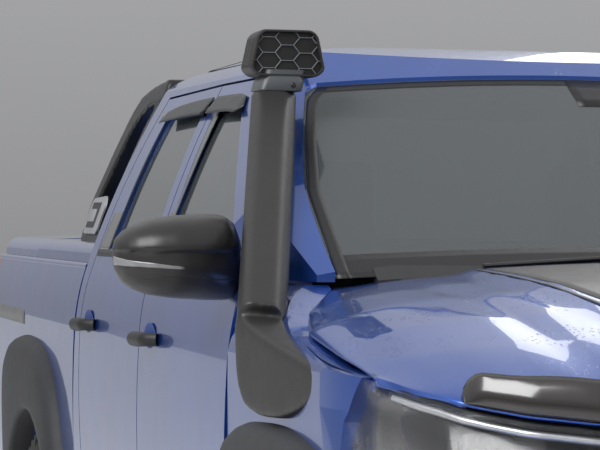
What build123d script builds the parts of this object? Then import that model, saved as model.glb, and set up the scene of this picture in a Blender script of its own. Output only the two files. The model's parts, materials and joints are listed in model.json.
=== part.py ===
from build123d import *
from math import cos, hypot, pi, sin
import os

# Lifted dual-cab off-road pickup, right-hand drive, in millimetres.
# Working frame: Y is behind the front axle, Z is the height that a place has on the standard
# vehicle, X is towards the left side. place() moves a finished piece into the model's frame,
# where the nose points along -Y, the ground is Z = 0 and the origin is midway along the length.

# Overall sizes
FRONT_OVERHANG = 985
WHEELBASE = 3085
REAR_OVERHANG = 1260
OVERALL_LENGTH = FRONT_OVERHANG + WHEELBASE + REAR_OVERHANG
TRACK_FRONT = 1535
TRACK_REAR = 1550
SUSPENSION_LIFT = 50
STANDARD_TYRE_D = 777

# Wheels and brakes
TYRE_D = 831
TYRE_W = 285
TREAD_W = 232
RIM_R = 216
RIM_W = 228
RIM_WALL = 14
RIM_FACE_OUT = 62
RIM_FACE_T = 34
HUB_R = 62
SPOKES = 6
BRAKE_R = 155
KINGPIN_X = 692

# Gaps and thicknesses
SHUT_GAP = 6
MOVE_GAP = 8
SEAT_GAP = 0.3
GLASS_T = 5
GLASS_DEPTH = 11
FLANGE_T = 14
DOOR_STEP = 22
JAMB_STEP = 5
GUARD_T = 40
BONNET_T = 44
BUMPER_T = 52
LAMP_DEPTH = 96
GRILLE_T = 58
POST_T = 44

# Body stations, behind the front axle
FIREWALL_Y = 430
WS_BASE_Y = 335
WS_HEADER_Y = 1092
FRONT_DOOR_Y = 588
CAB_REAR_Y = 2462
TUB_FRONT_Y = 2486
TUB_REAR_Y = WHEELBASE + 1111
DECK_SEAM_Y = WHEELBASE + 385
TAILGATE_T = 56

# Body heights
NOSE_LOW_Z = 330
SILL_Z = 475
FLOOR_Z = 511
BUMPER_TOP_Z = 938
BELT_Z = 1262
WS_BASE_Z = 1290
WS_HEADER_Z = 1738
ROOF_RAIL_Z = 1722
ROOF_CROWN_Z = 1806
TUB_FLOOR_Z = 781
TUB_RAIL_Z = 1262
DECK_TOP_Z = 1318
GATE_LOW_Z = 628

# Body half-widths
SILL_X = 884
WAIST_X = 897
BELT_X = 864
ROOF_RAIL_X = 672
FLARE_X = 950
TRAY_X = 822
TRAY_ARCH_X = 555
GATE_HALF = 742
LAMP_IN_X = 452
RAIL_IN_X = 655

BODY_RISE = SUSPENSION_LIFT + (TYRE_D - STANDARD_TYRE_D) / 2
AXLE_Z = TYRE_D / 2 - BODY_RISE
NOSE_Y = -FRONT_OVERHANG
TAIL_Y = OVERALL_LENGTH - FRONT_OVERHANG
FRONT_AXLE = -OVERALL_LENGTH / 2 + FRONT_OVERHANG
ARCH_Z = AXLE_Z + 20
ARCH_R_FRONT = TYRE_D / 2 + 66
ARCH_R_REAR = TYRE_D / 2 + 52
FLARE_BAND = 74
WIDE = 1000

os.makedirs("parts", exist_ok=True)


def outline(points):
    """Closed face in a plane's own axes. A third value bulges the edge that arrives there outwards."""
    edges = []
    for i, point in enumerate(points):
        a = points[i - 1][:2]
        b = point[:2]
        sag = winding(points) * point[2] if len(point) == 3 else 0
        if abs(sag) < 0.01:
            edges.append(Line(a, b))
            continue
        run = hypot(b[0] - a[0], b[1] - a[1])
        mid = ((a[0] + b[0]) / 2 + sag * (b[1] - a[1]) / run,
               (a[1] + b[1]) / 2 - sag * (b[0] - a[0]) / run)
        edges.append(ThreePointArc(a, mid, b))
    return make_face(edges)


def winding(points):
    """1 for a loop that runs anticlockwise, otherwise -1."""
    area = sum(a[0] * b[1] - b[0] * a[1] for a, b in zip(points[-1:] + points[:-1], points))
    return 1 if area > 0 else -1


def grown(points, gap):
    """The outline moved out by a gap, its arcs kept by their bulges."""
    moved = []
    for i, here in enumerate(points):
        before = points[i - 1]
        after = points[(i + 1) % len(points)]
        ax, ay = here[0] - before[0], here[1] - before[1]
        bx, by = after[0] - here[0], after[1] - here[1]
        la, lb = hypot(ax, ay), hypot(bx, by)
        nx, ny = ay / la + by / lb, -ax / la - bx / lb
        scale = winding(points) * 2 * gap / (nx * nx + ny * ny)
        moved.append((here[0] + nx * scale, here[1] + ny * scale, *here[2:]))
    return moved


def both(half, crown=0):
    """Full loop from its +X half, listed from the bottom up. crown bulges the top edge."""
    loop = list(half)
    loop.append((-half[-1][0], half[-1][1], crown))
    for i in range(len(half) - 1, 0, -1):
        sag = half[i][2] if len(half[i]) == 3 else 0
        loop.append((-half[i - 1][0], half[i - 1][1], sag))
    return loop


def prism_x(points, x0=-WIDE, x1=WIDE):
    """Side outline of (y, z) points, extruded from x0 to x1."""
    plane = Plane(origin=(x0, 0, 0), x_dir=(0, 1, 0), z_dir=(1, 0, 0))
    return extrude(plane * outline(points), amount=x1 - x0)


def prism_y(points, y0, y1):
    """Front outline of (x, z) points, extruded from y0 to y1."""
    plane = Plane(origin=(0, y1, 0), x_dir=(1, 0, 0), z_dir=(0, -1, 0))
    return extrude(plane * outline(points), amount=y1 - y0)


def prism_z(points, z0, z1):
    """Plan outline of (x, y) points, extruded from z0 to z1."""
    return extrude(Plane.XY.offset(z0) * outline(points), amount=z1 - z0)


def block(x0, x1, y0, y1, z0, z1):
    """Box between two corners."""
    return Pos((x0 + x1) / 2, (y0 + y1) / 2, (z0 + z1) / 2) * Box(x1 - x0, y1 - y0, z1 - z0)


def rod(start, end, radius):
    """Round bar between two points."""
    a = Vector(*start)
    b = Vector(*end)
    plane = Plane(origin=a, z_dir=b - a)
    return extrude(plane * Circle(radius), amount=(b - a).length)


def drum(x0, x1, y, z, radius):
    """Cylinder along X."""
    return rod((x0, y, z), (x1, y, z), radius)


def pair(shape):
    """The shape and its mirror image on the other side, as one list."""
    return [shape, mirror(shape, about=Plane.YZ)]


def fuse(shapes):
    """One shape of several that touch or overlap."""
    total = shapes[0]
    for shape in shapes[1:]:
        total = total + shape
    return total


def solids_of(shapes):
    """The solids of a shape or of a list of shapes."""
    found = []
    for shape in shapes if isinstance(shapes, list) else [shapes]:
        found.extend(shape.solids())
    return found


def place(name, shapes):
    """Writes one node, moved from the working frame into the model's frame."""
    move = Pos(0, FRONT_AXLE, BODY_RISE)
    solids = [move * solid for solid in solids_of(shapes)]
    export_step(solids[0] if len(solids) == 1 else Compound(solids), f"parts/{name}.step")


# Cab section, outer skin. Columns: x, z, bulge, wall thickness across, wall thickness down.
SECTION = [
    (SILL_X - 34, SILL_Z, 0, 110, SILL_Z - FLOOR_Z),
    (SILL_X, SILL_Z + 85, 0, 112, 0),
    (WAIST_X, 1090, 10, 112, 0),
    (BELT_X, BELT_Z, 6, 96, 0),
    (ROOF_RAIL_X, ROOF_RAIL_Z, 12, 58, 26),
    (ROOF_RAIL_X - 72, ROOF_RAIL_Z + 46, 5, 36, 42),
]
CROWN_SAG = ROOF_CROWN_Z - ROOF_RAIL_Z - 46
ROOF_WALL = 46
PILLAR_WALL = 62

# Windscreen: an arc in plan, swept along the rake
WS_SAG = 112
WS_HALF = 716
WS_RUN = WS_HEADER_Y - WS_BASE_Y
WS_RISE = WS_HEADER_Z - WS_BASE_Z

# The pillars and upper doors draw in towards the windscreen, above the belt. Columns: x, y, bulge.
SHOULDER = [(760, 380), (WIDE, 300), (WIDE, 1250), (BELT_X + 3, 1250), (742, 380, -18)]


def section(inset, walls):
    """Cab section, inset by a depth from the outer skin, or from the inside of the walls."""
    rows = []
    for x, z, sag, wall_x, wall_z in SECTION:
        share = inset / hypot(wall_x, wall_z) + (1 if walls else 0)
        rows.append((x - share * wall_x, z - share * wall_z, sag))
    return both(rows, CROWN_SAG)


def screen_cutter(depth):
    """All that lies ahead of the windscreen's surface, sunk by a depth along Y."""
    back = 2.2
    spread = 1.6
    half = WS_HALF * spread
    deep = WS_SAG * spread ** 2
    y = WS_BASE_Y + depth - back * WS_RUN
    face = Plane.XY.offset(WS_BASE_Z - back * WS_RISE) * outline(
        [(-half, y - 2600), (half, y - 2600), (half, y + deep), (-half, y + deep, -deep)])
    return extrude(face, amount=4.2 * hypot(WS_RUN, WS_RISE), dir=(0, WS_RUN, WS_RISE))


def cab_side(wall, walls):
    """Side view of the cab, or of the space inside it, without its windscreen."""
    floor = FLOOR_Z if walls else SILL_Z - 5
    top = WS_HEADER_Z - wall * 0.7
    low = WS_BASE_Z + 8 + wall * 0.6
    return [
        (FIREWALL_Y + wall, floor), (CAB_REAR_Y - wall, floor), (CAB_REAR_Y - wall, BELT_Z + 30),
        (CAB_REAR_Y - 92 - wall * 0.8, top + 4), (WS_HEADER_Y - 60, top - 6, ROOF_CROWN_Z - WS_HEADER_Z),
        (WS_BASE_Y - 60, top - 6), (WS_BASE_Y - 60, low), (FIREWALL_Y + wall, low),
    ]


def cab_solid(inset, walls=False):
    """Solid cab of the outer skin inset by a depth, or the space inside its walls inset by a depth."""
    wall = inset + (ROOF_WALL if walls else 0)
    side_wall = inset + (PILLAR_WALL if walls else 0)
    solid = prism_y(section(inset, walls), FIREWALL_Y - 400, CAB_REAR_Y + 10)
    solid = solid - screen_cutter(inset * 1.9 + (PILLAR_WALL if walls else 0))
    solid = solid & prism_x(cab_side(wall, walls))
    wedge = prism_z([(x - side_wall, y, *sag) for x, y, *sag in SHOULDER], BELT_Z - 8, 1900)
    for piece in pair(wedge):
        solid = solid - piece
    return solid


# Door and window outlines in side view. Columns: y, z, bulge.
DOOR_CUT = [(1527, 506), (1532, 839, 3), (1541, 1090, 2), (1566, BELT_Z, 2), (1625, 1706, 4)]
FRONT_DOOR = [(FRONT_DOOR_Y, 512)] + DOOR_CUT + [
    (1268, 1704), (636, 1300, 10), (598, 1262), (FRONT_DOOR_Y, 1180)]
REAR_DOOR = [(2262, 1700)] + [(y, z, -sag) for (y, z), sag in
                              zip([p[:2] for p in reversed(DOOR_CUT)], (0, 4, 2, 2, 3))] + [
    (2150, 508), (2302, 640, -12), (2345, 769, -6), (2386, 1090, 6), (2372, BELT_Z, 4)]
REAR_DOOR[0] = (2262, 1700, 16)
FRONT_PANE = [(795, 1308), (1500, 1300), (1560, 1652, 3), (1288, 1650), (806, 1340, 8)]
REAR_PANE = [(1640, 1300), (2200, 1304), (2196, 1420), (2150, 1648, 8), (1700, 1652), (1644, 1330, -3)]
REAR_GLASS = [(-590, 1330), (590, 1330), (520, 1660), (-520, 1660)]
DOORS = {"front": (FRONT_DOOR, FRONT_PANE), "rear": (REAR_DOOR, REAR_PANE)}
SIDES = {"left": 1, "right": -1}
DOOR_IN_X = 560
HINGE_X = 901
HINGE_Z = (640, 1040)
SCREEN_SIDE = [(708, 712, 4), (628, 1034, 4), (590, 1078, 8)]
SCREEN_PLAN = both([(716, 419, 70)] + SCREEN_SIDE, -27)
SCREEN_OPENING = both([(716, 300), (716, 419)] + SCREEN_SIDE, -27)

outer = cab_solid(0)
inner = cab_solid(0, walls=True)
behind_flange = cab_solid(FLANGE_T)
behind_jamb = cab_solid(FLANGE_T + MOVE_GAP)
pane_layer = cab_solid(GLASS_DEPTH) - cab_solid(GLASS_DEPTH + GLASS_T)
rear_window = prism_y(REAR_GLASS, CAB_REAR_Y - 220, CAB_REAR_Y + 40)

# Nose: a loft of plan outlines, trimmed by a front view and a side view. Plan columns: height, then
# the y where the sides turn in, x and y of the cheek, of the corner and of the front edge's end, and
# the front edge's bulge. Section and side columns: x or y, z, bulge.
NOSE_PLANS = [
    (NOSE_LOW_Z, -250, 872, -470, 780, -650, 560, -752, 52),
    (520, -250, 880, -500, 800, -716, 566, -818, 60),
    (700, -250, 880, -495, 800, -712, 566, -822, 62),
    (860, -230, 872, -450, 792, -650, 570, -772, 72),
    (1060, -150, 845, -320, 762, -533, 576, -664, 96),
    (1400, -150, 845, -320, 762, -533, 576, -664, 96),
]
NOSE_SECTION = both([
    (SILL_X - 34, NOSE_LOW_Z), (SILL_X, 560), (WAIST_X, 1060, 8), (866, 1190, 14), (730, 1266, 16),
], 42)
NOSE_SIDE = [
    (-WIDE, NOSE_LOW_Z), (600, NOSE_LOW_Z), (600, BELT_Z), (WS_BASE_Y + 95, 1288),
    (WS_BASE_Y + 60, 1303), (-400, 1206, 22), (-650, 1116, 14), (-790, 1052, 6), (-WIDE, 1052),
]
# Shut line between the bonnet and the guards, which runs on over the lamps and the grille
SHUT_LINE = [(600, BELT_Z), (430, BELT_Z), (400, 1252), (120, 1176, -4), (-300, 1124, -6),
             (-560, 1092), (-WIDE, 1030)]
BONNET_REAR_X = 732
BONNET_REAR_Y = 396
BONNET_EDGE = [(-WIDE, -WIDE), (WIDE, -WIDE), (WIDE, 560), (BONNET_REAR_X, BONNET_REAR_Y),
               (-BONNET_REAR_X, BONNET_REAR_Y, -58), (-WIDE, 560)]
LAMP_SIDE = [(-306, 1140), (-248, 1040, 6), (-262, BUMPER_TOP_Z + 6), (-WIDE, BUMPER_TOP_Z + 6),
             (-WIDE, 1140)]
BUMPER_SIDE = [(-300, BUMPER_TOP_Z), (-WIDE, BUMPER_TOP_Z), (-WIDE, NOSE_LOW_Z), (-560, NOSE_LOW_Z),
               (-512, 520), (-484, 720, -10)]


def nose_plan(row, inset):
    """One plan outline of the nose, moved in by a depth, as a face at its height."""
    z, side, cheek_x, cheek_y, corner_x, corner_y, front_x, front_y, bulge = row
    half = [(WAIST_X, 590), (WAIST_X, side), (cheek_x, cheek_y), (corner_x, corner_y), (front_x, front_y)]
    half = [(x - inset * x / WAIST_X, y + (inset if y < 0 else 0)) for x, y in half]
    sags = (0, 0, 8, 14, 12)
    loop = [(-x, y, sag) for (x, y), sag in zip(half, sags)]
    loop.append((*half[-1], bulge))
    for i in range(len(half) - 2, -1, -1):
        loop.append((*half[i], sags[i + 1]))
    return Plane.XY.offset(z) * outline(loop)


def nose_solid(inset):
    """Solid nose, its skin inset by a depth."""
    rows = [(x - inset * x / abs(x), z - (inset if z > 1100 else 0), *s) for x, z, *s in NOSE_SECTION]
    side = [(y, z - (inset if z > 1040 else 0), *s) for y, z, *s in NOSE_SIDE]
    body = loft([nose_plan(row, inset) for row in NOSE_PLANS], ruled=True)
    return body & prism_y(rows, -WIDE, 590) & prism_x(side)


nose = nose_solid(0)
above_shut = prism_x(SHUT_LINE + [(-WIDE, 1500), (600, 1500)])
below_shut = prism_x([(y, z - SHUT_GAP, *s) for y, z, *s in SHUT_LINE] + [(-WIDE, 200), (600, 200)])
ahead_of_cab = prism_z(BONNET_EDGE, 900, 1500)
ahead_gap = prism_z([(x, y + MOVE_GAP, *s) for x, y, *s in BONNET_EDGE], 0, 1402)
arches_front = pair(drum(400, WIDE, 0, ARCH_Z, ARCH_R_FRONT))
arches_rear = pair(drum(TRAY_ARCH_X + 22, WIDE, WHEELBASE, ARCH_Z, ARCH_R_REAR))


def bonnet():
    """Clamshell bonnet, as thick as its skin and frame together."""
    place("bonnet", (nose - nose_solid(BONNET_T)) & above_shut & ahead_of_cab)
    strip = nose_solid(-10) - nose_solid(-SEAT_GAP)
    edge = prism_x([(-WIDE, 1044), (-566, 1097), (-542, 1172), (-WIDE, 1172)], -740, 740)
    place("bonnet_protector", strip & edge)


def front_guards():
    """Painted guards, open over the wheels, with the bonnet, lamps and bumper let in."""
    skin = (nose - nose_solid(GUARD_T)) & below_shut
    skin = skin - prism_x(LAMP_SIDE, LAMP_IN_X, WIDE) - prism_x(LAMP_SIDE, -WIDE, -LAMP_IN_X)
    skin = skin - prism_x(grown(BUMPER_SIDE, 3)) - block(-730, 730, -WIDE, 600, 1000, 1400)
    skin = skin - block(-LAMP_IN_X, LAMP_IN_X, -WIDE, 0, 0, 1400)
    skin = skin & block(-WIDE, WIDE, -700, FRONT_DOOR_Y - SHUT_GAP, SILL_Z, 1400)
    for cut in arches_front:
        skin = skin - cut
    place("front_guards", skin)


def grille_and_lamps():
    """Grille across the nose, a lamp on each side of it, and the rear lamps in the tub's corners."""
    layer = (nose - nose_solid(LAMP_DEPTH)) & below_shut
    lamp_fit = prism_x(grown(LAMP_SIDE, -SEAT_GAP), LAMP_IN_X + 2, WIDE)
    lamps = [layer & fit for fit in pair(lamp_fit)]
    for rear in pair(tub_long & prism_x(LAMP_REAR, LAMP_REAR_X, WIDE)):
        lamps.append(rear)
    place("lamps", lamps)
    grille = (nose - nose_solid(GRILLE_T)) & below_shut
    grille = grille & block(-LAMP_IN_X + 2, LAMP_IN_X - 2, -WIDE, -400, GRILLE_LOW_Z + SEAT_GAP, 1200)
    front = nose - nose_solid(GRILLE_T * 0.6)
    for i in range(GRILLE_BARS):
        z = GRILLE_LOW_Z + 34 + i * GRILLE_PITCH
        grille = grille - (front & block(-LAMP_IN_X + 40, LAMP_IN_X - 40, -WIDE, -400, z, z + GRILLE_PITCH - 22))
    place("grille", grille)


GRILLE_LOW_Z = 706
GRILLE_BARS = 6
GRILLE_PITCH = 54
INTAKE = (440, 596)
BEAM = (612, 690)


def front_bumper():
    """Painted bumper, open for the grille and the lower intake, with its beam, skid plate and arms."""
    skin = (nose - nose_solid(BUMPER_T)) & prism_x(BUMPER_SIDE)
    skin = skin - block(-LAMP_IN_X, LAMP_IN_X, -WIDE, -300, *INTAKE)
    skin = skin - block(-LAMP_IN_X, LAMP_IN_X, -WIDE, -300, GRILLE_LOW_Z, 1000)
    beam = prism_z([(-LAMP_IN_X - 20, -790), (LAMP_IN_X + 20, -790), (LAMP_IN_X + 20, NOSE_Y + 90),
                    (400, NOSE_Y, 8), (-400, NOSE_Y), (-LAMP_IN_X - 20, NOSE_Y + 90, 8)], *BEAM)
    skid = prism_x([(-868, 330), (-850, 352), (-780, 346), (-470, 262), (-470, 250), (-484, 246)], -310, 310)
    arms = pair(block(RAIL_FRONT_X, RAIL_FRONT_X + RAIL_W, -790, FRONT_RAIL[0][0] - SEAT_GAP, 405, 438))
    place("front_bumper", fuse([skin, beam, skid] + arms))


def cab_shell():
    """Painted cab, its door openings rebated and its posts behind the doors' meeting line."""
    cab = outer - inner
    for door, _ in DOORS.values():
        for half in ((DOOR_IN_X, WIDE), (-WIDE, -DOOR_IN_X)):
            cab = cab - prism_x(grown(door, -JAMB_STEP), *half)
            cab = cab - (prism_x(grown(door, SHUT_GAP / 2), *half) - behind_jamb)
    post = prism_x([(y + dy, z) for dy, row in ((-48, DOOR_CUT), (48, DOOR_CUT[::-1])) for y, z, *_ in row])
    post = fuse([post & zone for zone in pair(block(600, WIDE, 1400, 1700, 0, 1900))])
    cab = cab + (post & (cab_solid(SHUT_GAP, walls=True) - cab_solid(SHUT_GAP + POST_T, walls=True)))
    for end in pair(block(690, 733, 1480, 1574, FLOOR_Z - 1, FLOOR_Z + 66)):
        cab = cab + end
    for end in pair(block(572, 607, 1578, 1670, 1672, 1716)):
        cab = cab + end
    cab = cab - prism_z(SCREEN_OPENING, 1262, 1730) - rear_window
    clear = block(-WIDE, WIDE, 0, FRONT_DOOR_Y - SHUT_GAP / 2, 0, BELT_Z)
    clear = clear - nose_solid(GUARD_T + SEAT_GAP)
    cab = cab - ahead_gap - clear
    for cut in arches_front:
        cab = cab - cut
    leading = prism_x(grown(FRONT_DOOR, SHUT_GAP / 2 - SEAT_GAP)) - prism_x(grown(FRONT_DOOR, -1))
    for z in HINGE_Z:
        for tab in pair(block(HINGE_X - 35, HINGE_X - 11, 586, FRONT_DOOR_Y + SHUT_GAP / 2 - SEAT_GAP, z, z + 60)):
            cab = cab + tab
        for tab in pair(leading & block(WAIST_X - 140, HINGE_X - 11, 1500, 1600, z, z + 60)):
            cab = cab + tab
    place("cab_shell", cab)


def cab_glass():
    """Windscreen and rear window."""
    band = (outer - screen_cutter(14)) & screen_cutter(14 + GLASS_T + 4)
    screen = band & prism_z(grown(SCREEN_PLAN, -SEAT_GAP), 1262, 1730)
    rear = pane_layer & rear_window & block(-WIDE, WIDE, CAB_REAR_Y - 200, CAB_REAR_Y, 1200, 1720)
    place("cab_glass", [screen - ahead_gap, rear])


HANDLE_Y = {"front": 1410, "rear": 2250}
HANDLE_Z = 1106


def handle(y, sign):
    """Pull handle on its two feet."""
    x = WAIST_X + 26
    bar = [rod((x, y - 78, HANDLE_Z + 3), (x, y + 78, HANDLE_Z - 3), 9)]
    for foot in (y - 70, y + 70):
        bar.append(rod((x - 60, foot, HANDLE_Z), (x, foot, HANDLE_Z), 9))
    return bar if sign > 0 else [mirror(piece, about=Plane.YZ) for piece in bar]


def doors():
    """Four doors, each an outer flange over a smaller body, and each door's pane."""
    for side, sign in SIDES.items():
        half = (DOOR_IN_X, WIDE) if sign > 0 else (-WIDE, -DOOR_IN_X)
        for name, (door, pane) in DOORS.items():
            flange = (outer - behind_flange) & prism_x(grown(door, -SHUT_GAP / 2), *half)
            body = (behind_flange - inner) & prism_x(grown(door, -DOOR_STEP), *half)
            panel = fuse([flange, body, *handle(HANDLE_Y[name], sign)]) - prism_x(pane, *half)
            place(f"door_{name}_{side}", panel)
            place(f"door_{name}_{side}_glass", pane_layer & prism_x(grown(pane, -SEAT_GAP), *half))


def cowl():
    """Black panel between the bonnet's rear edge and the windscreen."""
    tray = block(-640, 640, 300, FIREWALL_Y - SEAT_GAP, 1140, 1296)
    place("cowl", tray - ahead_gap - screen_cutter(9))


# Tub section, from the lower edge up. Columns: x, z, bulge.
TUB_SECTION = both([
    (SILL_X - 50, SILL_Z + 70), (SILL_X, SILL_Z + 150), (WAIST_X, 1090, 8),
    (BELT_X + 3, TUB_RAIL_Z - 14, 5), (BELT_X - 10, TUB_RAIL_Z, 5),
])
TUB_FLOOR_T = 42
POST_Y = TUB_REAR_Y - 86
TAILGATE_Y = TUB_REAR_Y + SHUT_GAP
GATE_OUT_Y = TAILGATE_Y + TAILGATE_T
LAMP_REAR_X = GATE_HALF + 12
LAMP_REAR = [(TUB_REAR_Y - 64, 905), (GATE_OUT_Y + 10, 905), (GATE_OUT_Y + 10, 1250), (TUB_REAR_Y - 46, 1250)]
tub_long = prism_y(TUB_SECTION, TUB_FRONT_Y, GATE_OUT_Y - 6)


def tub():
    """Load tub: floor, double side walls, front wall, corner posts and wheel boxes."""
    box = tub_long - block(-TRAY_X, TRAY_X, TUB_FRONT_Y + 42, POST_Y, TUB_FLOOR_Z, 1400)
    under = TUB_FLOOR_Z - TUB_FLOOR_T
    gate_x = GATE_HALF + SHUT_GAP
    box = box - block(-gate_x, gate_x, POST_Y - 10, TAIL_Y, TUB_FLOOR_Z, 1400)
    box = box - block(-gate_x, gate_x, TUB_REAR_Y, TAIL_Y, 0, 1400)
    box = box - block(-gate_x, gate_x, POST_Y - 10, TAIL_Y, 0, under)
    box = box - block(-TRAY_X, TRAY_X, TUB_FRONT_Y - 10, POST_Y, 0, under)
    wheel_box = drum(TRAY_ARCH_X, TRAY_X + 20, WHEELBASE, ARCH_Z, ARCH_R_REAR + 20)
    wheel_box = wheel_box & block(0, WIDE, WHEELBASE - 900, WHEELBASE + 900, under, 1000)
    for piece in pair(wheel_box):
        box = box + piece
    for cut in arches_rear + pair(prism_x(grown(LAMP_REAR, 2), LAMP_REAR_X - SEAT_GAP, WIDE)):
        box = box - cut
    for pin in pair(drum(GATE_HALF + SEAT_GAP, GATE_HALF + 30, GATE_OUT_Y - 14, GATE_LOW_Z + 12, 7)):
        box = box + pin
    place("tub", box)


def tailgate():
    """Drop-down gate, hinged along its lower outer edge."""
    place("tailgate", block(-GATE_HALF, GATE_HALF, TAILGATE_Y, GATE_OUT_Y, GATE_LOW_Z, TUB_RAIL_Z - 8))


# Deck rail section. Columns: x, z, bulge.
DECK_RAIL = both([(BELT_X - 14, TUB_RAIL_Z + SEAT_GAP), (BELT_X - 16, TUB_RAIL_Z + 26),
                  (BELT_X - 66, DECK_TOP_Z, 10), (RAIL_IN_X, DECK_TOP_Z + 4)])


def load_cover():
    """Fixed deck round the lid's front, and the hard lid that lifts behind the sports bar."""
    deck = prism_y(DECK_RAIL, TUB_FRONT_Y, DECK_SEAM_Y)
    deck = deck - block(-RAIL_IN_X, RAIL_IN_X, LID_FRONT_Y - SHUT_GAP, TAIL_Y, 1000, 1500)
    deck = deck - block(-RAIL_IN_X + 60, RAIL_IN_X - 60, TUB_FRONT_Y + 60, LID_FRONT_Y - 40, 1000, DECK_TOP_Z - 26)
    place("deck_rails", deck)
    in_x = RAIL_IN_X - SHUT_GAP
    seam = DECK_SEAM_Y + SHUT_GAP
    plan = [(-LID_HALF, seam), (-in_x, seam), (-in_x, LID_FRONT_Y), (in_x, LID_FRONT_Y), (in_x, seam),
            (LID_HALF, seam), (LID_HALF, TUB_REAR_Y - 30), (LID_HALF - 50, GATE_OUT_Y - 14, 12),
            (-LID_HALF + 50, GATE_OUT_Y - 14, 12), (-LID_HALF, TUB_REAR_Y - 30, 12)]
    section_rows = both([(LID_HALF, TUB_RAIL_Z + SEAT_GAP), (LID_HALF - 4, TUB_RAIL_Z + 22),
                         (LID_HALF - 52, DECK_TOP_Z, 8)], LID_CROWN)
    lid = prism_y(section_rows, LID_FRONT_Y, GATE_OUT_Y) & prism_z(plan, 1000, 1500)
    lid = lid & prism_x([(2400, 1200), (TAIL_Y, 1200), (TAIL_Y, 1295), (TUB_REAR_Y - 26, 1340), (2400, 1340)])
    place("hard_lid", lid)


LID_FRONT_Y = TUB_FRONT_Y + 540
LID_HALF = BELT_X - 14
LID_CROWN = 18
BAR_OUT_X = 812
BAR_TOP_X = 648
FIN_SIDE = [(2600, DECK_TOP_Z - 20), (2960, DECK_TOP_Z - 20), (2995, 1400, 8), (2710, 1612, -6),
            (2396, 1766, -6), (2396, 1690), (2560, 1560, -14)]


def sports_bar():
    """A fin on each deck rail that leans in and forward to the roof, and a cross tube."""
    lean = prism_y([(668, DECK_TOP_Z - 30), (BAR_OUT_X, DECK_TOP_Z - 30), (BAR_TOP_X, 1780), (BAR_TOP_X - 96, 1780)],
                   2400, 3100)
    fin = (prism_x(FIN_SIDE, 500, BAR_OUT_X) & lean) - Pos(0, 0, SEAT_GAP) * prism_y(DECK_RAIL, 2400, 3300)
    place("sports_bar", fuse(pair(fin) + [rod((-600, 2440, 1716), (600, 2440, 1716), 34)]))


FLARE_LOW_Z = 548


def arch_flares():
    """Wide flares, each a band round one wheel opening, seated on the body side."""
    flares = []
    for y, radius, ahead, behind, body in (
            (0, ARCH_R_FRONT, -WIDE, FRONT_DOOR_Y - 12, nose_solid(-SEAT_GAP)),
            (WHEELBASE, ARCH_R_REAR, TUB_FRONT_Y + 4, POST_Y - 10, tub_long)):
        band = drum(WAIST_X - 60, FLARE_X, y, ARCH_Z, radius + FLARE_BAND) - drum(0, WIDE, y, ARCH_Z, radius)
        flares.extend(pair((band & block(0, WIDE, ahead, behind, FLARE_LOW_Z, 1400)) - body))
    place("arch_flares", flares)


SHAFT_LOW = (-876, 345, 1238)
SHAFT_TOP = (-718, 948, 1664)
SHAFT_W = 88
SHAFT_D = 74
FOOT_OUT = 44
COLLAR_H = 36
HEAD_X = -692
HEAD_W = 148
HEAD_D = 112
HEAD_H = 98
# Snorkel foot. Side columns: y, z, bulge. Plan columns: x, y, bulge.
FOOT_SIDE = [(-111, 1142), (-70, 1088, 6), (20, 1056, 4), (140, 1042, 4), (300, 1052, 4), (372, 1090, 16),
             (392, 1200, 4), (386, 1296), (300, 1262), (232, 1204, -8), (123, 1190, -6), (-60, 1176, 4)]
FOOT_PLAN = [(-800, -140), (-800, 480), (-WAIST_X - 20, 420), (-WAIST_X - FOOT_OUT, 350, 10),
             (-WAIST_X - FOOT_OUT, 110), (-WAIST_X - 6, -140, 12)]


def snorkel():
    """Moulded intake: a foot on the right guard, a raked shaft, and a forward-facing head."""
    low = Vector(*SHAFT_LOW)
    top = Vector(*SHAFT_TOP)
    run = top - low
    plane = Plane(origin=low - run * 0.08, x_dir=(1, 0, 0), z_dir=run)
    shaft = extrude(plane * RectangleRounded(SHAFT_W, SHAFT_D, 20), amount=run.length * 1.2)
    shaft = shaft & block(-WIDE, 0, -200, 1400, 1000, top.Z)
    foot = prism_x(FOOT_SIDE, -WAIST_X - FOOT_OUT, -WAIST_X + 60) & prism_z(FOOT_PLAN, 1000, 1400)
    guard = prism_y([(x + SEAT_GAP * x / abs(x), z + (SEAT_GAP if z > 1100 else 0), *s)
                     for x, z, *s in NOSE_SECTION], -WIDE, 590)
    bracket = block(-744, -700, 880, 912, 1540, 1610)
    body = fuse([shaft, foot, bracket]) - guard - (nose_solid(-MOVE_GAP) & above_shut)
    place("snorkel", body - cab_solid(-SEAT_GAP))
    half = HEAD_W / 2
    face = both([(half - 16, 0), (half, 16, 4), (half - 22, HEAD_H - 12, 3), (half - 36, HEAD_H, 4)], 4)
    head = Pos(HEAD_X, top.Y, top.Z + COLLAR_H) * prism_y(face, -HEAD_D / 2, HEAD_D / 2)
    intake = both([(half - 24, 10), (half - 12, 18), (half - 31, HEAD_H - 18), (half - 42, HEAD_H - 10)], 4)
    head = head - Pos(HEAD_X, top.Y, top.Z + COLLAR_H) * prism_y(intake, -HEAD_D / 2 - 5, -HEAD_D / 2 + 12)
    collar = Pos(top.X, top.Y, top.Z + SEAT_GAP) * extrude(RectangleRounded(SHAFT_W - 4, SHAFT_D, 16),
                                                           amount=COLLAR_H + 8)
    place("snorkel_head", fuse([head, collar]) - cab_solid(-1))


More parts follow.
